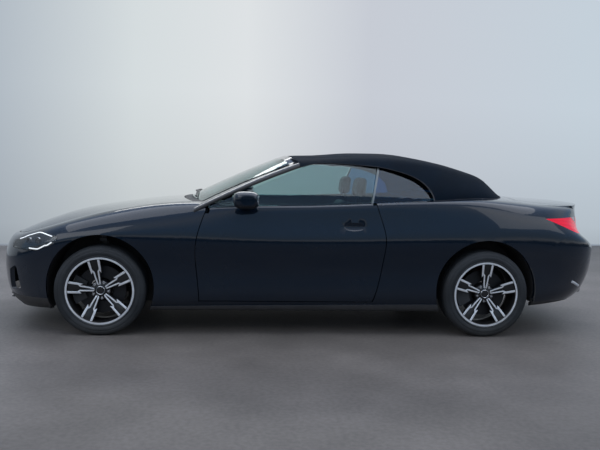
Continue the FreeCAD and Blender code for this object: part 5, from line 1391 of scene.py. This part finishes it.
class CAR_OT_stage(CarOperator, bpy.types.Operator):
    """Set the floor, wall, lights and camera"""
    bl_idname = "car.stage"
    bl_label = "Studio"

    def make(self):
        stage = settings("stage")
        make_stage(stage)
        make_lights()
        make_camera(stage)


WALL_FROM_Y, WALL_TURN, WALL_BACK = 4.0, 0.12, 0.16
FLOOR_HALF = 16
# Section of the floor and the wall, across and up
FLOOR_LINE = ((-14, 0), (4.93, 0), (5.00, 0.008), (5.05, 0.030), (5.07, 0.070), (5.075, 0.14), (5.075, 5.4))


def make_stage(stage):
    """The floor and the wall behind, which curve into each other."""
    mesh = bmesh.new()
    verts = [mesh.verts.new((-FLOOR_HALF, y, z)) for y, z in FLOOR_LINE]
    edges = [mesh.edges.new(pair) for pair in zip(verts, verts[1:])]
    pushed = bmesh.ops.extrude_edge_only(mesh, edges=edges)
    bmesh.ops.translate(mesh, verts=new_verts(pushed), vec=(2 * FLOOR_HALF, 0, 0))
    for vert in mesh.verts:
        if vert.co.y > WALL_FROM_Y:
            vert.co.y += WALL_TURN * vert.co.x - WALL_BACK
    mesh.normal_update()
    if sum(face.normal.z for face in mesh.faces) < 0:
        bmesh.ops.reverse_faces(mesh, faces=mesh.faces)
    for face in mesh.faces:
        face.smooth = True
    make_stage_finish(stage.floor_colour, stage.wall_colour)
    link_piece("studio_floor", mesh, "Studio Floor")


def make_stage_finish(colour, wall):
    tree, shader = new_finish("Studio Floor", Specular_IOR_Level=0.25)
    place = object_place(tree)
    spot = add(tree, "SeparateXYZ", in_0=place).outputs
    cloud = noise(tree, place, 1.3, in_Detail=8.0, in_Roughness=0.65)
    speck = noise(tree, place, 38.0, in_Detail=3.0)
    patches = ramp(tree, cloud, [
        (0.30, [c * 0.78 for c in colour]), (0.50, colour), (0.70, [c * 1.25 for c in colour])])
    flecks = ramp(tree, speck, [(0.35, 0.90), (0.65, 1.10)])
    # Painted light: the floor is painted lighter towards both of its ends along the car, a painted pool of light on
    # either side of the floor's own patches and flecks
    sides = ramp(tree, share_of(tree, spot["X"], -4.0, 4.0), [
        (0.15, (1.5, 1.54, 1.6)), (0.32, 1.0), (0.70, 1.0), (0.85, (1.35, 1.36, 1.38))])
    floor_tone_and_painted_light = multiply(tree, multiply(tree, patches, flecks), sides)
    # Painted shade: the wall is painted darker towards its foot, and painted lighter and darker along the car for how
    # light falls on it
    painted_foot_shade = ramp(tree, share_of(tree, spot["Z"], 0.0, 4.0), [
        (0.0, [c * 0.70 for c in wall]), (0.085, [c * 0.82 for c in wall]), (0.35, [c * 0.93 for c in wall]),
        (0.6, wall)])
    painted_wall_light = ramp(tree, share_of(tree, spot["X"], -4.4, 5.4), [
        (0.02, (0.59, 0.64, 0.70)), (0.23, (0.91, 0.94, 0.94)), (0.40, 1.0), (0.60, (0.78, 0.79, 0.85)),
        (0.99, (0.76, 0.83, 0.90))])
    wall_tone_and_painted_light = multiply(tree, painted_foot_shade, painted_wall_light)
    upright = share_of(tree, spot["Z"], 0.004, 0.045)
    wire(tree, shader, Base_Color=blend(tree, upright, floor_tone_and_painted_light, wall_tone_and_painted_light),
         Roughness=spread(tree, cloud, 0.40, 0.60))
    # Seen directly, in metal or through glass, the wall glows with this tone, its painted light and shade included
    seen = add(tree, "Emission", in_Color=wall_tone_and_painted_light, in_Strength=1.0)
    ray = add(tree, "LightPath").outputs
    either = reckon(tree, "MAXIMUM", ray["Is Camera Ray"], ray["Is Glossy Ray"])
    direct = reckon(tree, "MAXIMUM", either, ray["Is Transmission Ray"])
    front = add(tree, "MixShader", in_0=reckon(tree, "MULTIPLY", direct, upright), in_1=shader.outputs["BSDF"],
                in_2=seen.outputs["Emission"])
    behind = add(tree, "MixShader", in_0=add(tree, "NewGeometry").outputs["Backfacing"],
                 in_1=front.outputs["Shader"], in_2=add(tree, "BsdfTransparent").outputs["BSDF"])
    wire(tree, tree.nodes["Material Output"], Surface=behind.outputs["Shader"])


# Name, place, aim, size in metres and power in watts
LAMPS = (
    ("overhead_softbox", (0.0, -0.6, 5.8), (0, 0, 0.6), (11.0, 6.0), 340),
    ("front_softbox", (-6.0, -6.2, 5.0), (-0.4, 0, 0.7), (7.0, 3.6), 120),
    ("rear_softbox", (6.5, -5.6, 5.0), (0.8, 0, 0.7), (6.0, 3.6), 70),
    ("far_softbox", (0.0, 4.6, 4.6), (0, 0, 0.8), (7.0, 1.0), 90),
)
# How high in the air, and its colour there: dark ground, a pale band at the horizon, blue and cloud above
AIR = (
    (0.0, (0.020, 0.030, 0.038)), (0.13, (0.030, 0.045, 0.060)), (0.19, (0.75, 0.78, 0.80)),
    (0.27, (0.30, 0.40, 0.50)), (0.42, (0.26, 0.42, 0.66)), (0.62, (0.55, 0.64, 0.78)), (1.0, (0.22, 0.38, 0.70)),
)


def make_lights():
    world = bpy.data.worlds.new("Studio Air")
    bpy.context.scene.world = world
    world.use_nodes = True
    tree = world.node_tree
    place = add(tree, "TexCoord").outputs["Generated"]
    high = add(tree, "SeparateXYZ", in_0=place)
    cloud = noise(tree, place, 3.0, in_Detail=5.0)
    waved = reckon(tree, "MULTIPLY_ADD", cloud, 0.20, high.outputs["Z"])
    wire(tree, tree.nodes["Background"], Color=ramp(tree, waved, AIR), Strength=1.0)
    for name, place, aim, size, power in LAMPS:
        data = bpy.data.lights.new(name, "AREA")
        data.shape = "RECTANGLE"
        data.size, data.size_y = size
        data.energy = power
        lamp = bpy.data.objects.new(name, data)
        bpy.context.scene.collection.objects.link(lamp)
        lamp.location = place
        lamp.rotation_mode = "QUATERNION"
        lamp.rotation_quaternion = (Vector(aim) - Vector(place)).to_track_quat("-Z", "Y")


def make_camera(stage):
    data = bpy.data.cameras.new("camera")
    data.sensor_width = 36
    data.lens = stage.lens
    data.clip_end = 100
    camera = bpy.data.objects.new("camera", data)
    bpy.context.scene.collection.objects.link(camera)
    yaw, pitch, roll = stage.turn
    forward = Vector((-math.sin(yaw), math.cos(yaw), 0))
    right = Vector((math.cos(yaw), math.sin(yaw), 0))
    ahead = forward * math.cos(pitch) + Z_AXIS * math.sin(pitch)
    up = Z_AXIS * math.cos(pitch) - forward * math.sin(pitch)
    tilted_right = right * math.cos(roll) + up * math.sin(roll)
    tilted_up = up * math.cos(roll) - right * math.sin(roll)
    turn = Matrix((tilted_right, tilted_up, -ahead)).transposed()
    camera.matrix_world = Matrix.Translation(stage.eye) @ turn.to_4x4()
    bpy.context.scene.camera = camera
    bpy.context.scene.view_settings.view_transform = "Standard"


STEPS = (
    CAR_OT_finishes, CAR_OT_stage, CAR_OT_body, CAR_OT_trim, CAR_OT_glazing, CAR_OT_running_gear, CAR_OT_lamps,
    CAR_OT_soft_top, CAR_OT_tyres, CAR_OT_wheels, CAR_OT_seats, CAR_OT_cabin,
)


class CAR_PT_panel(bpy.types.Panel):
    """Lists the car's finishing steps and settings"""
    bl_idname = "CAR_PT_panel"
    bl_label = "Convertible"
    bl_space_type = "VIEW_3D"
    bl_region_type = "UI"
    bl_category = "Car"

    def draw(self, context):
        for step in STEPS:
            self.layout.operator(step.bl_idname)
        for name, group in GROUPS_OF_SETTINGS.items():
            box = self.layout.box()
            box.label(text=name.title())
            for key in group.__annotations__:
                box.prop(settings(name), key)


GROUPS_OF_SETTINGS = {
    "paint": PaintSettings, "wheel": WheelSettings, "glass": GlassSettings, "top": TopSettings,
    "cabin": CabinSettings, "stage": StageSettings,
}


def register():
    for name, group in GROUPS_OF_SETTINGS.items():
        bpy.utils.register_class(group)
        setattr(bpy.types.Scene, "car_" + name, bpy.props.PointerProperty(type=group))
    for step in STEPS:
        bpy.utils.register_class(step)
    bpy.utils.register_class(CAR_PT_panel)


def unregister():
    bpy.utils.unregister_class(CAR_PT_panel)
    for step in reversed(STEPS):
        bpy.utils.unregister_class(step)
    for name, group in GROUPS_OF_SETTINGS.items():
        delattr(bpy.types.Scene, "car_" + name)
        bpy.utils.unregister_class(group)


def main():
    register()
    for step in STEPS:
        area, verb = step.bl_idname.split(".")
        getattr(getattr(bpy.ops, area), verb)()


if __name__ == "__main__":
    main()
